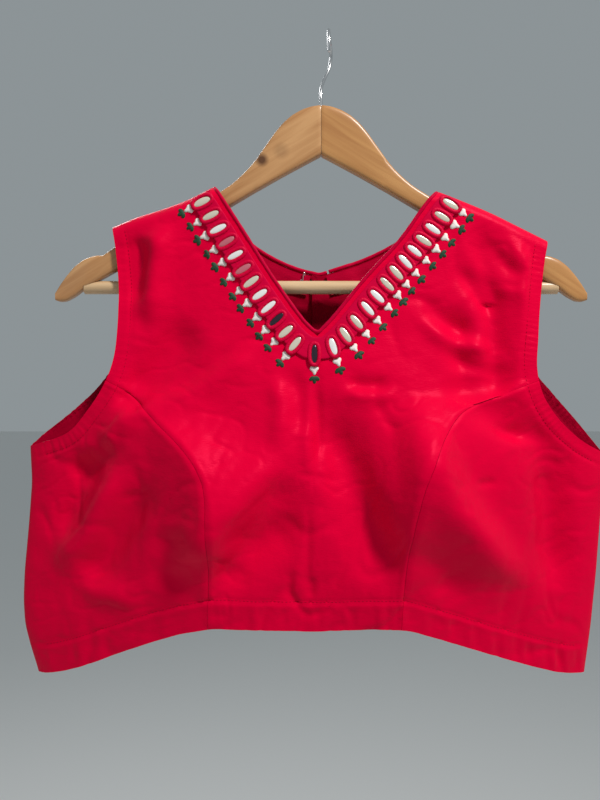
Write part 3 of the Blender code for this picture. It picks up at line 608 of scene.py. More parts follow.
MAP_STEP = 0.8                  # spacing of the height maps the folds are laid out on, mm
MAP_X, MAP_Z = np.arange(-262, 252, MAP_STEP), np.arange(-546, -96, MAP_STEP)
HEIGHTS = [draw(*np.meshgrid(MAP_X, MAP_Z)) for draw in (relief_front, relief_back)]


def height_at(kind, x, z):
    u = np.clip((x - MAP_X[0]) / MAP_STEP, 0, len(MAP_X) - 1.001)
    w = np.clip((z - MAP_Z[0]) / MAP_STEP, 0, len(MAP_Z) - 1.001)
    i, j = u.astype(int), w.astype(int)
    u, w = u - i, w - j
    m = HEIGHTS[kind]
    return (m[j, i] * (1 - u) * (1 - w) + m[j, i + 1] * u * (1 - w)
            + m[j + 1, i] * (1 - u) * w + m[j + 1, i + 1] * u * w)


def relief(turn, z):
    x = x_of(turn, z)
    front = np.mod(turn, 2 * math.pi) <= math.pi
    e = edge_share(x, z)
    calm = easy((e - 0.10) / 0.3)          # the two sides of the cloth meet level at the side seams
    near_top = easy((shoulder_height(x) - z) / 26)
    high = np.where(front, height_at(0, x, z), height_at(1, x, z)) * calm * near_top
    # over the hanger the cloth can't sink into the wood
    room = np.where(front, depth_front(x, z), depth_back(x, z)) - 1.5 - 7.1
    low = -np.maximum(room, 0.0) - 40.0 * easy((-z - 224) / 14)
    return low + np.logaddexp(0.0, 2.2 * (high - low)) / 2.2


def cloth(turn, z, under=False, out=0.0):
    """The outside of the shown cloth, folds and all."""
    return point(turn, z, under) + outward(turn, z, under) * (relief(turn, z) + out)[..., None]


def grid_normals(p):
    du, dv = np.gradient(p, axis=1), np.gradient(p, axis=0)
    n = np.cross(dv, du)
    return n / np.maximum(np.linalg.norm(n, axis=-1, keepdims=True), 1e-9)


# ------------------------------------------------------------------ fine patches of the same surface
FINE = 2.1       # spacing of the shown cloth's grid, mm
N_UP = int(160 / FINE)
N_LOW = int(215 / FINE)
N_COL = int(130 / FINE)
N_SIDE = int(175 / FINE)
N_BACK = int(260 / FINE)
HEM_ROWS = max(4, int(23 / FINE))


def down_shares(drop, rows):
    roll = SHOULDER_ROLL * (1 - np.cos(np.linspace(0, math.pi / 2, 9)))
    first = list(roll / drop)
    return np.array(first + list(np.linspace(first[-1], 1, rows)[1:]))


def with_hem(grid):
    last = grid[-1]
    rows = [np.stack([last[:, 0], last[:, 1] - HEM_DEPTH * k], axis=-1)
            for k in np.linspace(0, 1, HEM_ROWS + 1)[1:]]
    return np.vstack([grid, np.stack(rows)])


def front_half(side):
    t_up = down_shares(125, N_UP)
    u = np.linspace(0, 1, N_COL + 1)
    top = along(SHOULDER_LINE[side], u)
    neck = along(V_EDGE[side], t_up)
    arm = along(ARM["front", side], t_up * SEAM_START[side])
    tip, start = neck[-1], arm[-1]
    row = tip + (start - tip) * u[:, None]
    upper = coons(flat_to_turn(top), flat_to_turn(row), flat_to_turn(neck), flat_to_turn(arm), u)
    seam = even(cut_seam(side), N_LOW + 1)
    low_x = HEM_CENTRE + 1.5
    centre = np.linspace(tip, (low_x, hem_height(low_x) + HEM_DEPTH), N_LOW + 1)
    x = low_x + (seam[-1, 0] - low_x) * u
    bottom = np.stack([x, hem_height(x) + HEM_DEPTH], axis=-1)
    bottom[-1] = seam[-1]
    lower = coons(flat_to_turn(row), flat_to_turn(bottom), flat_to_turn(centre), flat_to_turn(seam), u)
    grid = with_hem(np.vstack([upper, lower[1:]]))
    return (grid[:, ::-1] if side == 0 else grid), len(upper) - 1


def front_side(side):
    seam = even(cut_seam(side), N_LOW + 1)
    s = np.linspace(0, 1, N_SIDE + 1)
    arm = along(ARM["front", side], SEAM_START[side] + (1 - SEAM_START[side]) * s)
    low_z = HEM_DEPTH + float(hem_height(np.array(HEM_SIDES[side])))
    edge = side_line(side, np.linspace(UNDERARM[side], low_z, N_LOW + 1))
    arm_t = flat_to_turn(arm)
    arm_t[-1] = edge[0]
    start = flat_to_turn(seam[-1:])[0]
    spread = start[0] + (edge[-1, 0] - start[0]) * s
    z = np.full(len(s), -480.0)
    for _ in range(6):
        z = hem_height(x_of(spread, z)) + HEM_DEPTH
    bottom = np.stack([spread, z], axis=-1)
    bottom[0], bottom[-1] = start, edge[-1]
    grid = with_hem(coons(arm_t, bottom, flat_to_turn(seam), edge))
    return grid[:, ::-1] if side == 0 else grid


def back_half(side):
    """A back half, laid out flat in (x, z); its columns close up towards the side seam."""
    lap = LAP_OVER if side == 0 else -LAP_UNDER
    t_up = down_shares(150, N_UP + 6)
    u = 1 - (1 - np.linspace(0, 1, N_BACK + 1)) ** 1.3
    top = along(SHOULDER_LINE[side], u)
    beyond = NECK_EDGE[1 - side][::-1]
    keep = (np.abs(beyond[:, 0]) > 0.3) & (np.abs(beyond[:, 0]) < abs(lap))
    neck = even(np.vstack([NECK_EDGE[side], beyond[keep], [[lap, -197.9]]]), 400)
    inner, arm = along(neck, t_up), along(ARM["back", side], t_up)

    def seam_side(z):
        middle, half = sides(z)
        return np.stack([middle + (half if side else -half), z], axis=-1)

    under = seam_side(np.array([UNDERARM[side]]))[0]
    arm[-1] = under
    row = inner[-1] + (under - inner[-1]) * u[:, None]
    upper = coons(top, row, inner, arm, u)
    low_z = HEM_DEPTH + float(hem_height(np.array(HEM_SIDES[side])))
    edge = seam_side(np.linspace(UNDERARM[side], low_z, N_LOW + 1))
    centre = np.linspace(inner[-1], (lap, float(hem_height(np.array(lap))) + HEM_DEPTH), N_LOW + 1)
    x = lap + (edge[-1, 0] - lap) * u
    bottom = np.stack([x, hem_height(x) + HEM_DEPTH], axis=-1)
    bottom[0], bottom[-1] = centre[-1], edge[-1]
    lower = coons(row, bottom, centre, edge, u)
    grid = with_hem(flat_to_turn(np.vstack([upper, lower[1:]]), True))
    return grid[:, ::-1] if side == 1 else grid


# ------------------------------------------------------------------ meshes
COLL = bpy.data.collections.new("choli_looks")
bpy.context.scene.collection.children.link(COLL)


def make_object(name, verts, faces, material, smooth=True, sharp=None):
    mesh = bpy.data.meshes.new(name)
    mesh.from_pydata([tuple(v) for v in verts], [], faces)
    mesh.validate()
    if smooth:
        mesh.shade_smooth()
        if sharp:
            mesh.set_sharp_from_angle(angle=math.radians(sharp))
    mesh.materials.append(material)
    ob = bpy.data.objects.new(name, mesh)
    COLL.objects.link(ob)
    return ob


def pull(p, q, far=SEAM_PULL):
    d = q - p
    return p + far * d / np.maximum(np.linalg.norm(d, axis=-1, keepdims=True), 1e-9)


def sheet_points(grid, under=False, seams=(), out=0.0, wall=CLOTH, hem=True):
    face = cloth(grid[..., 0], grid[..., 1], under, out)
    n = grid_normals(face)
    # rows on the shoulder's top line look straight up
    x = x_of(grid[..., 0], grid[..., 1])
    ridge = shoulder_height(x) - grid[..., 1] < 0.25
    n = np.where(ridge[..., None], outward(grid[..., 0], grid[..., 1], under), n)
    edged = face.copy()
    if "top" in seams:
        edged[0] = pull(face[0], face[1])
    if "left" in seams:
        edged[:, 0] = pull(edged[:, 0], face[:, 1])
    if "right" in seams:
        edged[:, -1] = pull(edged[:, -1], face[:, -2])
    t = np.full(grid.shape[:2], wall)
    if hem:
        t[-HEM_ROWS - 1:] += 0.8
    return edged, edged - n * t[..., None]


def shell(name, sheets, material, round_edge=0.08):
    """A closed thin shell from sheets of (outer, inner) points; sheets that share points are one cloth."""
    index, outer, inner, faces = {}, [], [], []
    for out_pts, in_pts in sheets:
        keys = np.round(out_pts, 3)
        ids = np.zeros(out_pts.shape[:2], dtype=int)
        for r in range(out_pts.shape[0]):
            for c in range(out_pts.shape[1]):
                key = tuple(keys[r, c])
                if key not in index:
                    index[key] = len(outer)
                    outer.append(out_pts[r, c])
                    inner.append(in_pts[r, c])
                ids[r, c] = index[key]
        a, b, c_, d = ids[:-1, :-1], ids[1:, :-1], ids[1:, 1:], ids[:-1, 1:]
        faces += [tuple(q) for q in np.stack([a, b, c_, d], axis=-1).reshape(-1, 4).tolist()]
    n = len(outer)
    used = set()
    for f in faces:
        for a, b in zip(f, f[1:] + f[:1]):
            used.add((a, b))
    border = [(a, b) for (a, b) in used if (b, a) not in used]
    outer, inner = np.array(outer), np.array(inner)
    # a middle line round the rim, pushed out a little, so the cut edge is round and not square
    rim_ids = {}
    mids = []
    toward = {}
    for a, b in border:
        e = outer[b] - outer[a]
        w = inner[a] - outer[a]
        side = np.cross(e, w)
        for k in (a, b):
            toward[k] = toward.get(k, 0) + side / max(np.linalg.norm(side), 1e-9)
    for k, side in toward.items():
        rim_ids[k] = 2 * n + len(mids)
        side = side / max(np.linalg.norm(side), 1e-9)
        mids.append((outer[k] + inner[k]) / 2 - side * round_edge)
    verts = np.vstack([outer, inner, np.array(mids)])
    all_faces = list(faces) + [tuple(i + n for i in reversed(f)) for f in faces]
    for a, b in border:
        all_faces.append((b, a, rim_ids[a], rim_ids[b]))
        all_faces.append((rim_ids[b], rim_ids[a], a + n, b + n))
    ob = make_object(name, place(verts), all_faces, material, True, 48)
    # the inner faces take a darker copy of the satin: painted shade for the cloth's shadowed inside
    if material.name == "crimson_satin":
        ob.data.materials.append(LINING_PAINTED_SHADE)
        for f in ob.data.polygons:
            if min(f.vertices) >= n and max(f.vertices) < 2 * n:
                f.material_index = 1
    return ob


def sweep(path, radius, sides=8, closed=False, flat=1.0, normals=None, cap=True):
    """Verts and faces of a tube along points (mm). radius may vary; flat squeezes it along the normals."""
    p = np.asarray(path, float)
    n = len(p)
    r = np.full(n, radius) if np.isscalar(radius) else np.asarray(radius, float)
    if closed:
        t = np.roll(p, -1, 0) - np.roll(p, 1, 0)
    else:
        t = np.gradient(p, axis=0)
    t /= np.maximum(np.linalg.norm(t, axis=1, keepdims=True), 1e-9)
    if normals is None:
        up = np.array([0.0, 0.0, 1.0]) if abs(t[0, 2]) < 0.9 else np.array([1.0, 0, 0])
        a = np.zeros_like(p)
        a[0] = up - (up @ t[0]) * t[0]
        for k in range(1, n):
            a[k] = a[k - 1] - (a[k - 1] @ t[k]) * t[k]
            a[k] /= np.linalg.norm(a[k])
        a[0] /= np.linalg.norm(a[0])
    else:
        a = normals - np.sum(normals * t, axis=1, keepdims=True) * t
        a /= np.maximum(np.linalg.norm(a, axis=1, keepdims=True), 1e-9)
    b = np.cross(t, a)
    ang = np.linspace(0, 2 * math.pi, sides, endpoint=False)
    ring = (p[:, None] + r[:, None, None] * (np.cos(ang)[None, :, None] * a[:, None] * flat
                                             + np.sin(ang)[None, :, None] * b[:, None]))
    verts = ring.reshape(-1, 3)
    faces = []
    for k in range(n if closed else n - 1):
        j = (k + 1) % n
        for s in range(sides):
            q = (s + 1) % sides
            faces.append((k * sides + s, k * sides + q, j * sides + q, j * sides + s))
    if not closed and cap:
        faces.append(tuple(reversed(range(sides))))
        faces.append(tuple(range((n - 1) * sides, n * sides)))
    return verts, faces


class Joined:
    """Many small shapes gathered into one mesh."""

    def __init__(self):
        self.v, self.f, self.n = [], [], 0

    def add(self, verts, faces):
        self.v.append(np.asarray(verts))
        self.f += [tuple(i + self.n for i in f) for f in faces]
        self.n += len(verts)

    def make(self, name, material, sharp=60):
        return make_object(name, place(np.vstack(self.v)), self.f, material, True, sharp)
# ------------------------------------------------------------------ materials
def node_material(name, colour, roughness, metallic=0.0, sheen=0.0, coat=0.0, specular=0.5):
    m = bpy.data.materials.new(name)
    m.use_nodes = True
    b = m.node_tree.nodes["Principled BSDF"]
    b.inputs["Base Color"].default_value = (*colour, 1)
    b.inputs["Roughness"].default_value = roughness
    b.inputs["Metallic"].default_value = metallic
    b.inputs["Specular IOR Level"].default_value = specular
    b.inputs["Sheen Weight"].default_value = sheen
    b.inputs["Sheen Roughness"].default_value = 0.4
    b.inputs["Coat Weight"].default_value = coat
    return m, m.node_tree, b


def noise_bump(tree, shader, scale, strength, distance, detail=3.0, turn=0.0):
    """Bump from noise stretched by a scale per axis, in the object's own metres."""
    co = tree.nodes.new("ShaderNodeTexCoord")
    mp = tree.nodes.new("ShaderNodeMapping")
    mp.inputs["Scale"].default_value = scale
    mp.inputs["Rotation"].default_value = (0, turn, 0)
    tx = tree.nodes.new("ShaderNodeTexNoise")
    tx.inputs["Scale"].default_value = 1.0
    tx.inputs["Detail"].default_value = detail
    bp = tree.nodes.new("ShaderNodeBump")
    bp.inputs["Strength"].default_value = strength
    bp.inputs["Distance"].default_value = distance
    tree.links.new(co.outputs["Object"], mp.inputs["Vector"])
    tree.links.new(mp.outputs["Vector"], tx.inputs["Vector"])
    tree.links.new(tx.outputs["Fac"], bp.inputs["Height"])
    tree.links.new(bp.outputs["Normal"], shader.inputs["Normal"])
    return bp, mp


def silk(name, colour, roughness, sheen=0.25):
    """Satin-faced cotton: a smooth sheen broken by short crosswise slubs and a fine weave."""
    m, tree, b = node_material(name, colour, roughness, sheen=sheen, specular=0.16)
    b.inputs["Sheen Tint"].default_value = (1.0, 0.05, 0.2, 1)
    b.inputs["Specular Tint"].default_value = (1.0, 0.025, 0.15, 1)
    first, _ = noise_bump(tree, b, (260, 260, 1500), 0.30, 0.0005, 3.0)
    second, _ = noise_bump(tree, b, (34, 34, 46), 0.35, 0.0030, 4.0)
    tree.links.new(second.outputs["Normal"], first.inputs["Normal"])
    tree.links.new(first.outputs["Normal"], b.inputs["Normal"])
    return m


SATIN = silk("crimson_satin", (0.75, 0.0, 0.036), 0.36, 0.0)
# darker copy of the satin for the shells' inner faces: painted shade
LINING_PAINTED_SHADE = silk("crimson_lining_painted_shade", (0.36, 0.0, 0.018), 0.6, 0.0)
# darker copy of the satin for the pieces inside the blouse: painted shade
SATIN_INSIDE_PAINTED_SHADE = silk("crimson_facing_painted_shade", (0.50, 0.001, 0.030), 0.6, 0.1)
PIPING = silk("crimson_piping", (0.52, 0.001, 0.034), 0.45, 0.2)
BAND = silk("crimson_border_band", (0.60, 0.001, 0.040), 0.5, 0.2)


def thread(name, colour, roughness=0.55, sheen=0.3, pitch=2600, tint=(1, 1, 1, 1)):
    m, tree, b = node_material(name, colour, roughness, sheen=sheen, specular=0.35)
    b.inputs["Specular Tint"].default_value = tint
    noise_bump(tree, b, (pitch, pitch, pitch * 0.35), 0.5, 0.0004, 2.0, 0.5)
    return m


THREAD_RED = thread("crimson_thread", (0.62, 0.0, 0.036), 0.45, 0.0, tint=(1.0, 0.14, 0.3, 1))
STITCH = thread("stitch_thread", (0.44, 0.0, 0.022), 0.5, 0.0, tint=(1.0, 0.14, 0.3, 1))
WHITE = thread("white_thread", (0.88, 0.83, 0.78), 0.6)
GREEN = thread("green_thread", (0.005, 0.050, 0.018), 0.6, 0.1)


def mirror(name, colour, roughness=0.16, metallic=1.0):
    return node_material(name, colour, roughness, metallic)[0]


# one mirror glass in four colours, each a painted reflection: bright, cream, the red cloth, dark
PAINTED_MIRROR_REFLECTIONS = {
    "bright": mirror("mirror_painted_bright_reflection", (0.97, 0.96, 0.94), 0.16, 0.25),
    "cream": mirror("mirror_painted_cream_reflection", (0.74, 0.69, 0.56), 0.20, 0.25),
    "pink": mirror("mirror_painted_red_reflection", (0.60, 0.16, 0.20), 0.28, 0.2),
    "dark": mirror("mirror_painted_dark_reflection", (0.05, 0.035, 0.05), 0.15, 0.6),
}


def wood(name, pale, deep, grain_turn, knot=None):
    m, tree, b = node_material(name, pale, 0.36, coat=0.25, specular=0.4)
    b.inputs["Coat Roughness"].default_value = 0.22
    co = tree.nodes.new("ShaderNodeTexCoord")
    mp = tree.nodes.new("ShaderNodeMapping")
    mp.inputs["Rotation"].default_value = (0, grain_turn, 0)
    st = tree.nodes.new("ShaderNodeMapping")
    st.inputs["Scale"].default_value = (9, 40, 150)
    tx = tree.nodes.new("ShaderNodeTexNoise")
    tx.inputs["Scale"].default_value = 1.0
    tx.inputs["Detail"].default_value = 5.0
    tx.inputs["Distortion"].default_value = 0.6
    ramp = tree.nodes.new("ShaderNodeValToRGB")
    ramp.color_ramp.elements[0].position, ramp.color_ramp.elements[1].position = 0.34, 0.66
    ramp.color_ramp.elements[0].color = (*deep, 1)
    ramp.color_ramp.elements[1].color = (*pale, 1)
    tree.links.new(co.outputs["Object"], mp.inputs["Vector"])
    tree.links.new(mp.outputs["Vector"], st.inputs["Vector"])
    tree.links.new(st.outputs["Vector"], tx.inputs["Vector"])
    tree.links.new(tx.outputs["Fac"], ramp.inputs["Fac"])
    last = ramp.outputs["Color"]
    for at, size, dark in knot or ():
        d = tree.nodes.new("ShaderNodeVectorMath")
        d.operation = "DISTANCE"
        flat = tree.nodes.new("ShaderNodeVectorMath")
        flat.operation = "MULTIPLY"
        flat.inputs[1].default_value = (1, 0, 1)
        tree.links.new(co.outputs["Object"], flat.inputs[0])
        tree.links.new(flat.outputs["Vector"], d.inputs[0])
        d.inputs[1].default_value = ((at[0] + OFFSET_X) * MM, 0, at[1] * MM)
        rg = tree.nodes.new("ShaderNodeMapRange")
        rg.inputs["From Min"].default_value = size * 0.35 * MM
        rg.inputs["From Max"].default_value = size * MM
        rg.inputs["To Min"].default_value = dark
        rg.inputs["To Max"].default_value = 0.0
        tree.links.new(d.outputs["Value"], rg.inputs["Value"])
        mix = tree.nodes.new("ShaderNodeMix")
        mix.data_type = "RGBA"
        mix.inputs["B"].default_value = (0.07, 0.02, 0.006, 1)
        tree.links.new(rg.outputs["Result"], mix.inputs["Factor"])
        tree.links.new(last, mix.inputs["A"])
        last = mix.outputs["Result"]
    tree.links.new(last, b.inputs["Base Color"])
    bp = tree.nodes.new("ShaderNodeBump")
    bp.inputs["Strength"].default_value = 0.12
    bp.inputs["Distance"].default_value = 0.0008
    tree.links.new(tx.outputs["Fac"], bp.inputs["Height"])
    tree.links.new(bp.outputs["Normal"], b.inputs["Normal"])
    return m


WOOD_LEFT = wood("varnished_wood_left", (0.60, 0.32, 0.135), (0.44, 0.205, 0.075), 0.55,
                 knot=(((-49.0, -106.5), 6.5, 0.9), ((-54.5, -103.0), 3.0, 0.6), ((-33, -99), 8.0, 0.25)))
WOOD_RIGHT = wood("varnished_wood_right", (0.58, 0.29, 0.10), (0.43, 0.19, 0.06), -0.55)
WOOD_BAR = wood("bar_wood", (0.72, 0.50, 0.29), (0.60, 0.39, 0.21), 0.0)
STEEL = node_material("bright_steel", (0.72, 0.72, 0.73), 0.22, 1.0)[0]

# ------------------------------------------------------------------ the panels
made = {}
left, tip_row = front_half(0)
right, _ = front_half(1)
lo, li = sheet_points(left, seams=("top", "left"))
ro, ri = sheet_points(right, seams=("top", "right"))
ro[tip_row:, 0], ri[tip_row:, 0] = lo[tip_row:, -1], li[tip_row:, -1]
made["front_centre"] = shell("cloth_front_centre", [(lo, li), (ro, ri)], SATIN)
for side, tag in ((0, "left"), (1, "right")):
    o, i = sheet_points(front_side(side), seams=("left", "right"))
    made["front_side_" + tag] = shell("cloth_front_side_" + tag, [(o, i)], SATIN)
o, i = sheet_points(back_half(0), seams=("top", "right"))
made["back_left"] = shell("cloth_back_left", [(o, i)], SATIN)
o, i = sheet_points(back_half(1), under=True, seams=("top", "left"))
made["back_right"] = shell("cloth_back_right", [(o, i)], SATIN)


# ------------------------------------------------------------------ neck: piping, band, facings
def strip_grid(curve, shares, offsets, back, sign):
    c = along(curve, shares)
    ahead, behind = along(curve, np.clip(shares + 0.012, 0, 1)), along(curve, np.clip(shares - 0.012, 0, 1))
    d = ahead - behind
    d /= np.linalg.norm(d, axis=-1, keepdims=True)
    n = np.stack([-d[:, 1], d[:, 0]], axis=-1) * sign
    return np.stack([flat_to_turn(c + n * k, back) for k in offsets], axis=1)


def layer(name, grid, material, out, wall_mm, under=False, drop=None):
    face = cloth(grid[..., 0], grid[..., 1], under, out)
    n = outward(grid[..., 0], grid[..., 1], under)
    if drop is not None:
        face = face - n * drop[..., None]
    return shell(name, [(face, face - n * wall_mm)], material)


BORDER_IN, BORDER_OUT = 3.6, 22.0
steps = 130
shares = np.linspace(0.012, 0.988, steps)
offsets = np.concatenate([[BORDER_IN, BORDER_IN + 0.35, BORDER_IN + 0.9], np.linspace(6, 20, 8),
                          [21.1, 21.65, BORDER_OUT]])
band = strip_grid(V_WHOLE, shares, offsets, False, -1)
round_off = np.zeros(band.shape[:2])
for k, r in ((0, 0.55), (1, 0.14), (-1, 0.55), (-2, 0.14)):
    round_off[:, k] += r
for k, r in ((0, 0.5), (-1, 0.5)):
    round_off[k, :] = np.maximum(round_off[k, :], r)
made["neck_border"] = layer("cloth_neck_border", band, BAND, 1.95, 0.95, drop=round_off)


def pipe_run(edge, shares, back, toward, under=False):
    t = flat_to_turn(along(edge, shares), back)
    step = 0.006
    a = flat_to_turn(along(edge, np.clip(shares + step, 0, 1)), back)
    b = flat_to_turn(along(edge, np.clip(shares - step, 0, 1)), back)
    n = outward(t[:, 0], t[:, 1], under)
    mid = point(t[:, 0], t[:, 1], under) - n * 0.75
    run = point(a[:, 0], a[:, 1], under) - point(b[:, 0], b[:, 1], under)
    run /= np.linalg.norm(run, axis=-1, keepdims=True)
    off = np.cross(n, run) * toward
    off /= np.linalg.norm(off, axis=-1, keepdims=True)
    return mid + off * (1.5 + (0.2 if back else -0.05))


far_side = NECK_EDGE[1][::-1]
back_l = np.vstack([NECK_EDGE[0], far_side[(far_side[:, 0] > 0.3) & (far_side[:, 0] < LAP_OVER)]])
back_r = NECK_EDGE[1][NECK_EDGE[1][:, 0] > LAP_OVER + 1.4]
runs = [
    pipe_run(back_l[::-1], np.concatenate([np.linspace(0.0, 0.94, 17), [0.965, 0.985]]), True, 1),
    pipe_run(V_WHOLE, np.concatenate([[0.0, 0.006, 0.016, 0.03], np.linspace(0.055, 0.47, 16),
                                      np.linspace(0.488, 0.524, 4), np.linspace(0.545, 0.945, 15),
                                      [0.97, 0.984, 0.994, 1.0]]), False, 1),
    pipe_run(back_r, np.concatenate([[0.015, 0.035], np.linspace(0.06, 1.0, 16)]), True, 1, True),
]
path = even(smooth_curve(np.vstack(runs), 900), 420)
s = np.arange(len(path))
width = 1.70 + 0.05 * np.sin(s * 0.9) + 0.04 * np.sin(s * 0.37 + 1)
v, f = sweep(path, width, 12)
piping = make_object("cloth_neck_piping", place(v), f, PIPING)

FACING_GAP, FACING_WALL = 0.9, 1.0
# the back neck facings take the darker inside satin: painted shade
facings = {}
for side, tag in ((0, "left"), (1, "right")):
    stop = 0.93 if side == 0 else 0.965
    g = strip_grid(NECK_EDGE[side], np.linspace(0.12, stop, 60), np.linspace(1.2, 18.0, 10), True, -1 if side == 0 else 1)
    g = g[:, ::-1] if side == 0 else g
    facings[tag] = layer("cloth_back_facing_" + tag, g, SATIN_INSIDE_PAINTED_SHADE, -(1.5 + FACING_GAP), FACING_WALL, under=side == 1)

# ------------------------------------------------------------------ the embroidered edge
# mirror centres (x, z) from each shoulder down to the tip, and which painted reflection colours each one's glass
MIRROR_ROWS = [
    (-97.0, -143.5, "cream"), (-90.0, -154.5, "cream"), (-84.0, -165.5, "bright"), (-77.0, -176.0, "pink"),
    (-70.0, -187.0, "bright"), (-63.5, -198.5, "pink"), (-57.0, -209.0, "cream"), (-50.0, -219.5, "bright"),
    (-43.0, -229.8, "bright"), (-36.5, -240.0, "dark"), (-29.0, -250.0, "cream"), (-21.5, -260.0, "cream"),
    (-6.0, -268.0, "dark"),
    (9.0, -262.0, "bright"), (19.0, -252.5, "cream"), (28.0, -242.0, "cream"), (37.0, -231.0, "bright"),
    (45.0, -221.0, "bright"), (53.0, -211.0, "cream"), (60.5, -201.5, "cream"), (68.0, -192.5, "bright"),
    (75.5, -183.5, "bright"), (83.0, -175.0, "cream"), (90.5, -165.5, "bright"), (98.0, -155.5, "cream"),
    (105.0, -145.5, "cream"),
]


def on_front(x, z, lift):
    x, z = np.asarray(x, float), np.asarray(z, float)
    z = np.minimum(z, shoulder_height(x) - 0.4)
    return cloth(turn_of(x, z), z, out=lift)


def away_from_v(x, z):
    """The direction across the border at a point, away from the V's edge."""
    d, at = edge_distance(V_WHOLE, np.array([x]), np.array([z]))
    p = along(V_WHOLE, at)[0]
    w = np.array([x, z]) - p
    return w / np.linalg.norm(w)


def ring_points(cx, cz, axis, half_long, half_wide, count, power=2.4, lift=0.0):
    a = np.linspace(0, 2 * math.pi, count, endpoint=False)
    u = half_long * np.sign(np.cos(a)) * np.abs(np.cos(a)) ** (2 / power)
    w = half_wide * np.sign(np.sin(a)) * np.abs(np.sin(a)) ** (2 / power)
    side = np.array([-axis[1], axis[0]])
    x, z = cx + axis[0] * u + side[0] * w, cz + axis[1] * u + side[1] * w
    return on_front(x, z, np.zeros(count) + lift)


def dome(cx, cz, axis, outline, height, lift, rings=5, sink=0.4):
    """A low mound over an outline of (along axis, across axis) points."""
    side = np.array([-axis[1], axis[0]])
    verts, faces = [], []
    n = len(outline)
    mid = outline.mean(axis=0)
    shrink = [1.0] + [math.cos(k / rings * math.pi / 2) for k in range(rings)][0:]
    raised = [-sink] + [height * math.sin(k / rings * math.pi / 2) for k in range(rings)]
    for sc, up in zip(shrink, raised):
        o = mid + (outline - mid) * sc
        x = cx + axis[0] * o[:, 0] + side[0] * o[:, 1]
        z = cz + axis[1] * o[:, 0] + side[1] * o[:, 1]
        verts.append(on_front(x, z, np.full(n, lift + up)))
    x0, z0 = cx + axis[0] * mid[0] + side[0] * mid[1], cz + axis[1] * mid[0] + side[1] * mid[1]
    verts.append(on_front(np.array([x0]), np.array([z0]), np.array([lift + height])))
    for r in range(len(shrink) - 1):
        for k in range(n):
            j = (k + 1) % n
            faces.append((r * n + k, (r + 1) * n + k, (r + 1) * n + j, r * n + j))
    top = len(shrink) * n
    r = (len(shrink) - 1) * n
    for k in range(n):
        faces.append((r + k, top, r + (k + 1) % n))
    faces.append(tuple(range(n)))
    return np.vstack(verts), faces


def lobes(parts, count=36):
    """An outline round several overlapping ovals (centre along, across, radius along, across, turn)."""
    a = np.linspace(0, 2 * math.pi, count, endpoint=False)
    out = []
    for ang in a:
        d = np.array([math.cos(ang), math.sin(ang)])
        best = 0.4
        for cu, cw, ru, rw, tilt in parts:
            for t in np.linspace(0, 6, 61):
                q = d * t - np.array([cu, cw])
                c, s_ = math.cos(-tilt), math.sin(-tilt)
                qu, qw = (q[0] * c - q[1] * s_) / ru, (q[0] * s_ + q[1] * c) / rw
                if qu * qu + qw * qw <= 1:
                    best = max(best, t)
        out.append(d * best)
    return np.array(out)


BUD = lobes([(1.5, 0, 2.5, 1.5, 0), (-1.3, 1.9, 1.9, 1.9, 0), (-1.3, -1.9, 1.9, 1.9, 0), (0.2, 1.0, 2.2, 1.5, -0.7),
             (0.2, -1.0, 2.2, 1.5, 0.7), (-0.5, 0, 2.4, 2.3, 0)])
LEAF = lobes([(2.0, 0, 2.8, 1.6, 0), (0.5, 2.3, 2.5, 1.6, 0.95), (0.5, -2.3, 2.5, 1.6, -0.95), (0.2, 0, 1.6, 1.6, 0),
              (0.4, 0, 1.9, 1.9, 0)])

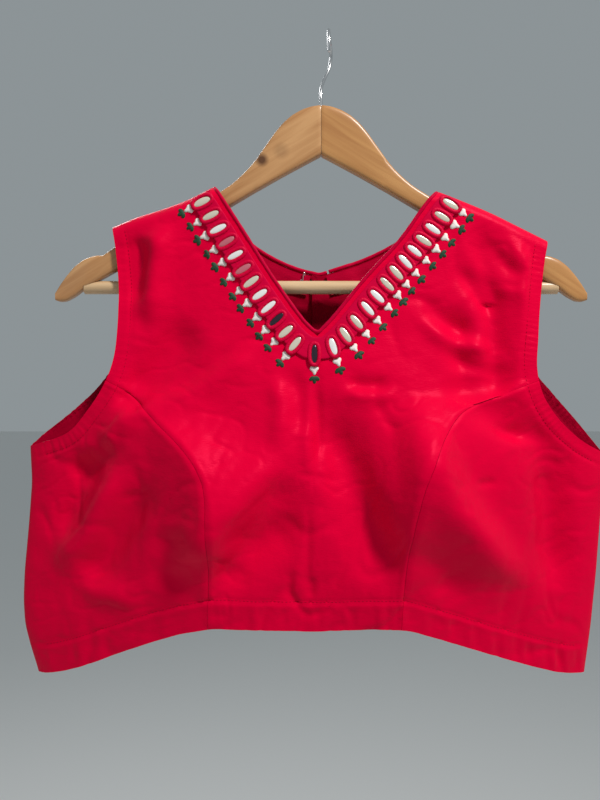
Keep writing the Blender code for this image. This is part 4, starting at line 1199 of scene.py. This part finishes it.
glass = {k: Joined() for k in PAINTED_MIRROR_REFLECTIONS}
frames_, buds, leaves, prongs = Joined(), Joined(), Joined(), Joined()
for k, (mx, mz, shine) in enumerate(MIRROR_ROWS):
    axis = away_from_v(mx, mz)
    if k == 12:
        axis = np.array([0.03, -1.0])
    # the rows lean a little more upright towards the tip
    lean = math.radians(random.uniform(-3, 3)) + (0.0 if k == 12 else math.radians(
        (-6 + 11 * min(k, 12) / 11.0) if k < 12 else -(-8 + 20 * (25 - k) / 12.0)))
    axis = np.array([axis[0] * math.cos(lean) - axis[1] * math.sin(lean),
                     axis[0] * math.sin(lean) + axis[1] * math.cos(lean)])
    axis /= np.linalg.norm(axis)
    top = 1.95
    a = np.linspace(0, 2 * math.pi, 40, endpoint=False)
    hl, hw = 7.0 + random.uniform(-0.3, 0.3), 2.45 + random.uniform(-0.15, 0.15)
    u = hl * np.sign(np.cos(a)) * np.abs(np.cos(a)) ** 0.9
    w = hw * np.sign(np.sin(a)) * np.abs(np.sin(a)) ** 0.9
    v, f = dome(mx, mz, axis, np.stack([u, w], axis=-1), 0.55, top + 0.25, 4, 0.7)
    glass[shine].add(v, f)
    # the raised thread frame, a flattened ring with an uneven top
    ring = ring_points(mx, mz, axis, hl + 1.5, hw + 1.6, 56, 2.5, top + 0.0)
    j = np.arange(56)
    normals = on_front(*np.stack([ring[:, 0], ring[:, 2]]), 1.0) - on_front(*np.stack([ring[:, 0], ring[:, 2]]), 0.0)
    v, f = sweep(ring, 1.65 + 0.09 * np.sin(j * 1.9 + k), 10, True, 0.62, normals)
    frames_.add(v, f)
    # white bud, base towards the mirror, then a dark sprig of three leaves
    tilt = math.radians(random.uniform(-9, 9))
    ax2 = np.array([axis[0] * math.cos(tilt) - axis[1] * math.sin(tilt),
                    axis[0] * math.sin(tilt) + axis[1] * math.cos(tilt)])
    size = random.uniform(0.93, 1.08)
    bx, bz = mx + axis[0] * 12.5, mz + axis[1] * 12.5
    v, f = dome(bx, bz, ax2, BUD * size, 1.15, 0.1, 4, 0.5)
    buds.add(v, f)
    lx, lz = mx + axis[0] * 18.0, mz + axis[1] * 18.0 - 0.5
    size = random.uniform(0.9, 1.05)
    v, f = dome(lx, lz, ax2, LEAF * size, 0.9, 0.1, 4, 0.5)
    leaves.add(v, f)
embroidery = []
for k, j in glass.items():
    if j.n:
        embroidery.append(j.make("mirrors_" + k, PAINTED_MIRROR_REFLECTIONS[k], 40))
embroidery.append(frames_.make("mirror_frames", THREAD_RED))
embroidery.append(buds.make("thread_buds", WHITE, 70))
embroidery.append(leaves.make("thread_leaves", GREEN, 70))


# ------------------------------------------------------------------ stitches
def stitch_line(joined, flat_pts, back, under, pitch, long, radius, lift, skip=()):
    """Short thread capsules lying along a line of (x, z) points."""
    run = np.concatenate([[0], np.cumsum(np.linalg.norm(np.diff(flat_pts, axis=0), axis=1))])
    at = np.arange(pitch / 2, run[-1] - pitch / 2, pitch)
    for s0 in at:
        ends = np.array([s0 - long / 2, s0, s0 + long / 2])
        x = np.interp(ends, run, flat_pts[:, 0])
        z = np.interp(ends, run, flat_pts[:, 1])
        t = turn_of(x, z, back)
        up = np.array([lift - radius * 0.9, lift + radius * 0.2, lift - radius * 0.9])
        p = cloth(t, z, under, up)
        v, f = sweep(p, np.array([radius * 0.6, radius, radius * 0.6]), 5)
        joined.add(v, f)


def inset(curve, dist, toward_x):
    """The curve moved sideways by dist, towards larger x when toward_x is positive."""
    d = np.gradient(curve, axis=0)
    d /= np.linalg.norm(d, axis=1, keepdims=True)
    n = np.stack([-d[:, 1], d[:, 0]], axis=-1)
    n *= np.sign(n[:, :1] * toward_x + 1e-9)
    return curve + n * dist


sewing = {"front": Joined(), "back_left": Joined(), "back_right": Joined()}
hx = np.linspace(HEM_SIDES[0] + 8, HEM_SIDES[1] - 8, 400)
stitch_line(sewing["front"], np.stack([hx, hem_height(hx) + HEM_DEPTH], -1), False, False, 3.0, 2.1, 0.28, 0.15)
hx = np.linspace(HEM_SIDES[0] + 8, LAP_OVER - 1.5, 300)
stitch_line(sewing["back_left"], np.stack([hx, hem_height(hx) + HEM_DEPTH], -1), True, False, 3.0, 2.1, 0.28, 0.15)
hx = np.linspace(LAP_OVER + 2, HEM_SIDES[1] - 8, 300)
stitch_line(sewing["back_right"], np.stack([hx, hem_height(hx) + HEM_DEPTH], -1), True, True, 3.0, 2.1, 0.28, 0.15)
for side in (0, 1):
    for face in ("front", "back"):
        c = ARM[face, side]
        c = c[(c[:, 1] < c[0, 1] - 6) & (c[:, 1] > c[-1, 1] + 3)]
        c = inset(c, ARM_BAND - 0.4, 1 if side == 0 else -1)
        key = "front" if face == "front" else ("back_left" if side == 0 else "back_right")
        stitch_line(sewing[key], c, face == "back", face == "back" and side == 1, 3.0, 2.1, 0.26, 0.2)
    e = NECK_EDGE[side]
    e = e[(e[:, 1] < e[0, 1] - 8) & (np.abs(e[:, 0]) > (LAP_OVER + 3 if side else 2))]
    d = np.gradient(e, axis=0)
    d /= np.linalg.norm(d, axis=1, keepdims=True)
    n = np.stack([-d[:, 1], d[:, 0]], axis=-1)
    n *= np.sign(-n[:, 1:])
    stitch_line(sewing["back_left" if side == 0 else "back_right"], e + n * 6.0, True, side == 1, 3.0, 2.1, 0.26, 0.2)
lap_x = np.full(120, LAP_OVER - 2.2)
stitch_line(sewing["back_left"], np.stack([lap_x, np.linspace(-212, -478, 120)], -1), True, False, 3.2, 2.2, 0.26, 0.2)
stitch_obs = {k: j.make("stitches_" + k, STITCH) for k, j in sewing.items()}

# ------------------------------------------------------------------ dress hook at the back neck
base = point(turn_of(np.array([-14.0]), np.array([-202.5]), True), np.array([-202.5]))[0]
hy = base[1] - 1.5 - FACING_GAP - FACING_WALL - 0.6 - 0.9
bend = [(-2.4, 0.0, 0.4), (-3.0, 0.0, -1.0), (-2.4, 0.0, -2.2), (-1.2, 0.0, -1.4), (-0.75, 0.0, 1.2),
        (-0.72, 0.0, 4.6), (-0.45, -0.5, 6.0), (0.0, -1.2, 6.3), (0.45, -1.9, 5.8), (0.6, -2.0, 4.6), (0.6, -1.8, 3.0)]
p = np.array([(-14.0 + a, hy + b, -202.5 + c) for a, b, c in bend])
d3 = np.vstack([[np.interp(np.linspace(0, len(p) - 1, 60), np.arange(len(p)), p[:, k]) for k in range(3)]]).T
for _ in range(3):
    d3[1:-1] = (d3[:-2] + d3[1:-1] * 2 + d3[2:]) / 4
v, f = sweep(d3, 0.4, 10)
dress_hook = make_object("steel_dress_hook", place(v), f, STEEL)


# ------------------------------------------------------------------ hanger
def wood_ring(d, top, low, side, count=44):
    a = np.linspace(0, 2 * math.pi, count, endpoint=False) + math.pi / count
    half_z, mid = (top - low) / 2, (top + low) / 2
    half_y = 6.5 * (1 - 0.30 * easy((d - 190) / 30))
    cy, cz = np.cos(a), np.sin(a)
    y = half_y * np.sign(cy) * np.abs(cy) ** 0.42
    z = mid + half_z * np.sign(cz) * np.abs(cz) ** (0.42 * (0.55 if half_z > 14 else 1))
    return np.stack([np.full(count, d if side == 1 else -d), y, z], axis=-1)


def cut_holes(ob, holes):
    for rad, length, where, lying in holes:
        bpy.ops.mesh.primitive_cylinder_add(vertices=28, radius=rad * MM, depth=length * MM,
                                            rotation=(0, math.pi / 2 if lying else 0, 0),
                                            location=tuple(place(where)))
        drill = bpy.context.object
        cut = ob.modifiers.new("hole", "BOOLEAN")
        cut.object, cut.operation, cut.solver = drill, "DIFFERENCE", "EXACT"
        bpy.context.view_layer.update()
        done = bpy.data.meshes.new_from_object(ob.evaluated_get(bpy.context.evaluated_depsgraph_get()))
        ob.modifiers.clear()
        old, ob.data = ob.data, done
        bpy.data.meshes.remove(old)
        gone = drill.data
        bpy.data.objects.remove(drill)
        bpy.data.meshes.remove(gone)
    ob.data.shade_smooth()
    ob.data.set_sharp_from_angle(angle=math.radians(50))


table = np.array(WOOD)
arms = {}
for side, tag in ((0, "left"), (1, "right")):
    ds = np.unique(np.concatenate([[0.15, 0.5, 1.2], np.linspace(3, 60, 20), np.linspace(64, 176, 22),
                                   np.linspace(178, 219.4, 22), [219.9, 220.0]]))
    rings = []
    for d in ds:
        topz = sum(np.interp(d + k, table[:, 0], table[:, 1]) for k in (-1.2, 0, 1.2)) / 3
        lowz = sum(np.interp(d + k, table[:, 0], table[:, 2]) for k in (-1.2, 0, 1.2)) / 3
        edge = 0.5 * (1 - easy((d - 0.15) / 1.0))          # the glued joint's softened arris
        rings.append(wood_ring(d, topz - edge, lowz + edge, side) * np.array([1, 1 - edge * 0.07, 1]))
    n = 44
    vv = np.vstack(rings)
    ff = [(r * n + k, r * n + (k + 1) % n, (r + 1) * n + (k + 1) % n, (r + 1) * n + k)
          for r in range(len(rings) - 1) for k in range(n)]
    ff += [tuple(reversed(range(n))), tuple(range((len(rings) - 1) * n, len(rings) * n))]
    if side == 0:
        ff = [tuple(reversed(q)) for q in ff]
    ob = make_object("wood_arm_" + tag, place(vv), ff, WOOD_LEFT if side == 0 else WOOD_RIGHT)
    bm = bmesh.new()
    bm.from_mesh(ob.data)
    bmesh.ops.recalc_face_normals(bm, faces=bm.faces)
    bm.to_mesh(ob.data)
    bm.free()
    cut_holes(ob, [(BAR_RADIUS + 0.3, 60.0, ((1 if side else -1) * (BAR_HALF + 0.3 - 30), 0, BAR_Z), True),
                   (WIRE_RADIUS + 0.3, 24.0, (0, 0, -66.3), False)])
    arms[tag] = ob
xs = np.concatenate([[-BAR_HALF, -BAR_HALF + 0.4], np.linspace(-BAR_HALF + 1, BAR_HALF - 1, 60), [BAR_HALF - 0.4, BAR_HALF]])
rr = np.full(len(xs), BAR_RADIUS)
rr[[0, -1]] -= 0.4
v, f = sweep(np.stack([xs, 0 * xs, 0 * xs + BAR_Z], -1), rr, 36)
bar = make_object("wood_bar", place(v), f, WOOD_BAR, True, 40)
wire = [(0.0, 0.0, -77.6), (0.0, 0.0, -68.0)] + [(lean, reach, z) for z, lean, reach in HOOK]
path = even(smooth_curve(wire, 700), 200)
rw = np.full(len(path), WIRE_RADIUS)
rw[-3:] = WIRE_RADIUS * np.array([0.97, 0.8, 0.45])
v, f = sweep(path, rw, 18)
hook = make_object("steel_hook", place(v), f, STEEL)

# ------------------------------------------------------------------ who stands for what
for key, ob in made.items():
    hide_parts(key)
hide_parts("neck_piping")
for tag, ob in facings.items():
    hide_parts("back_neck_facing_" + tag)
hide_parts("back_hook")
for tag, ob in arms.items():
    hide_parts("hanger_arm_" + tag)
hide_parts("hanger_bar")
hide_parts("hanger_hook")
everything = (list(made.values()) + [piping] + list(facings.values()) + embroidery + list(stitch_obs.values())
              + [dress_hook] + list(arms.values()) + [bar, hook])
for ob in everything:
    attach(ob, "root")

# ------------------------------------------------------------------ floor, light, camera
bpy.ops.mesh.primitive_plane_add(size=60, location=(0, 0, -1.45))
floor = bpy.context.object
floor.name = "pale_floor"
floor.data.materials.append(node_material("pale_floor", (0.80, 0.80, 0.79), 0.9)[0])

world = bpy.data.worlds.new("pale_world")
bpy.context.scene.world = world
world.use_nodes = True
world.node_tree.nodes["Background"].inputs["Color"].default_value = (0.60, 0.67, 0.70, 1)
world.node_tree.nodes["Background"].inputs["Strength"].default_value = 0.44


def area_light(name, where, aim, size, power, colour=(1, 1, 1)):
    data = bpy.data.lights.new(name, "AREA")
    data.shape, data.size, data.energy, data.color = "DISK", size, power, colour
    ob = bpy.data.objects.new(name, data)
    COLL.objects.link(ob)
    ob.location = where
    ob.rotation_euler = (Vector(aim) - Vector(where)).to_track_quat("-Z", "Y").to_euler()
    return ob


area_light("key_window", (0.80, -0.92, 1.08), (0, 0, -0.3), 0.30, 33, (1.0, 0.98, 0.95))
area_light("fill_left", (-1.4, -1.6, 0.1), (0, 0, -0.3), 1.4, 2, (0.95, 0.97, 1.0))
area_light("back_window", (-1.0, 1.5, 0.9), (0, 0, -0.3), 0.7, 9)

cam_data = bpy.data.cameras.new("photo_view")
cam_data.lens, cam_data.sensor_width = 37.86, 36.0
cam = bpy.data.objects.new("photo_view", cam_data)
COLL.objects.link(cam)
cam.location = (-0.024, -0.700, -0.3045)
cam.rotation_euler = (math.pi / 2, 0, 0)
bpy.context.scene.camera = cam
bpy.context.scene.view_settings.view_transform = "Standard"

shown = [np.array([tuple(ob.matrix_world @ v_.co) for v_ in ob.data.vertices]) for ob in everything]
shown = np.vstack(shown)
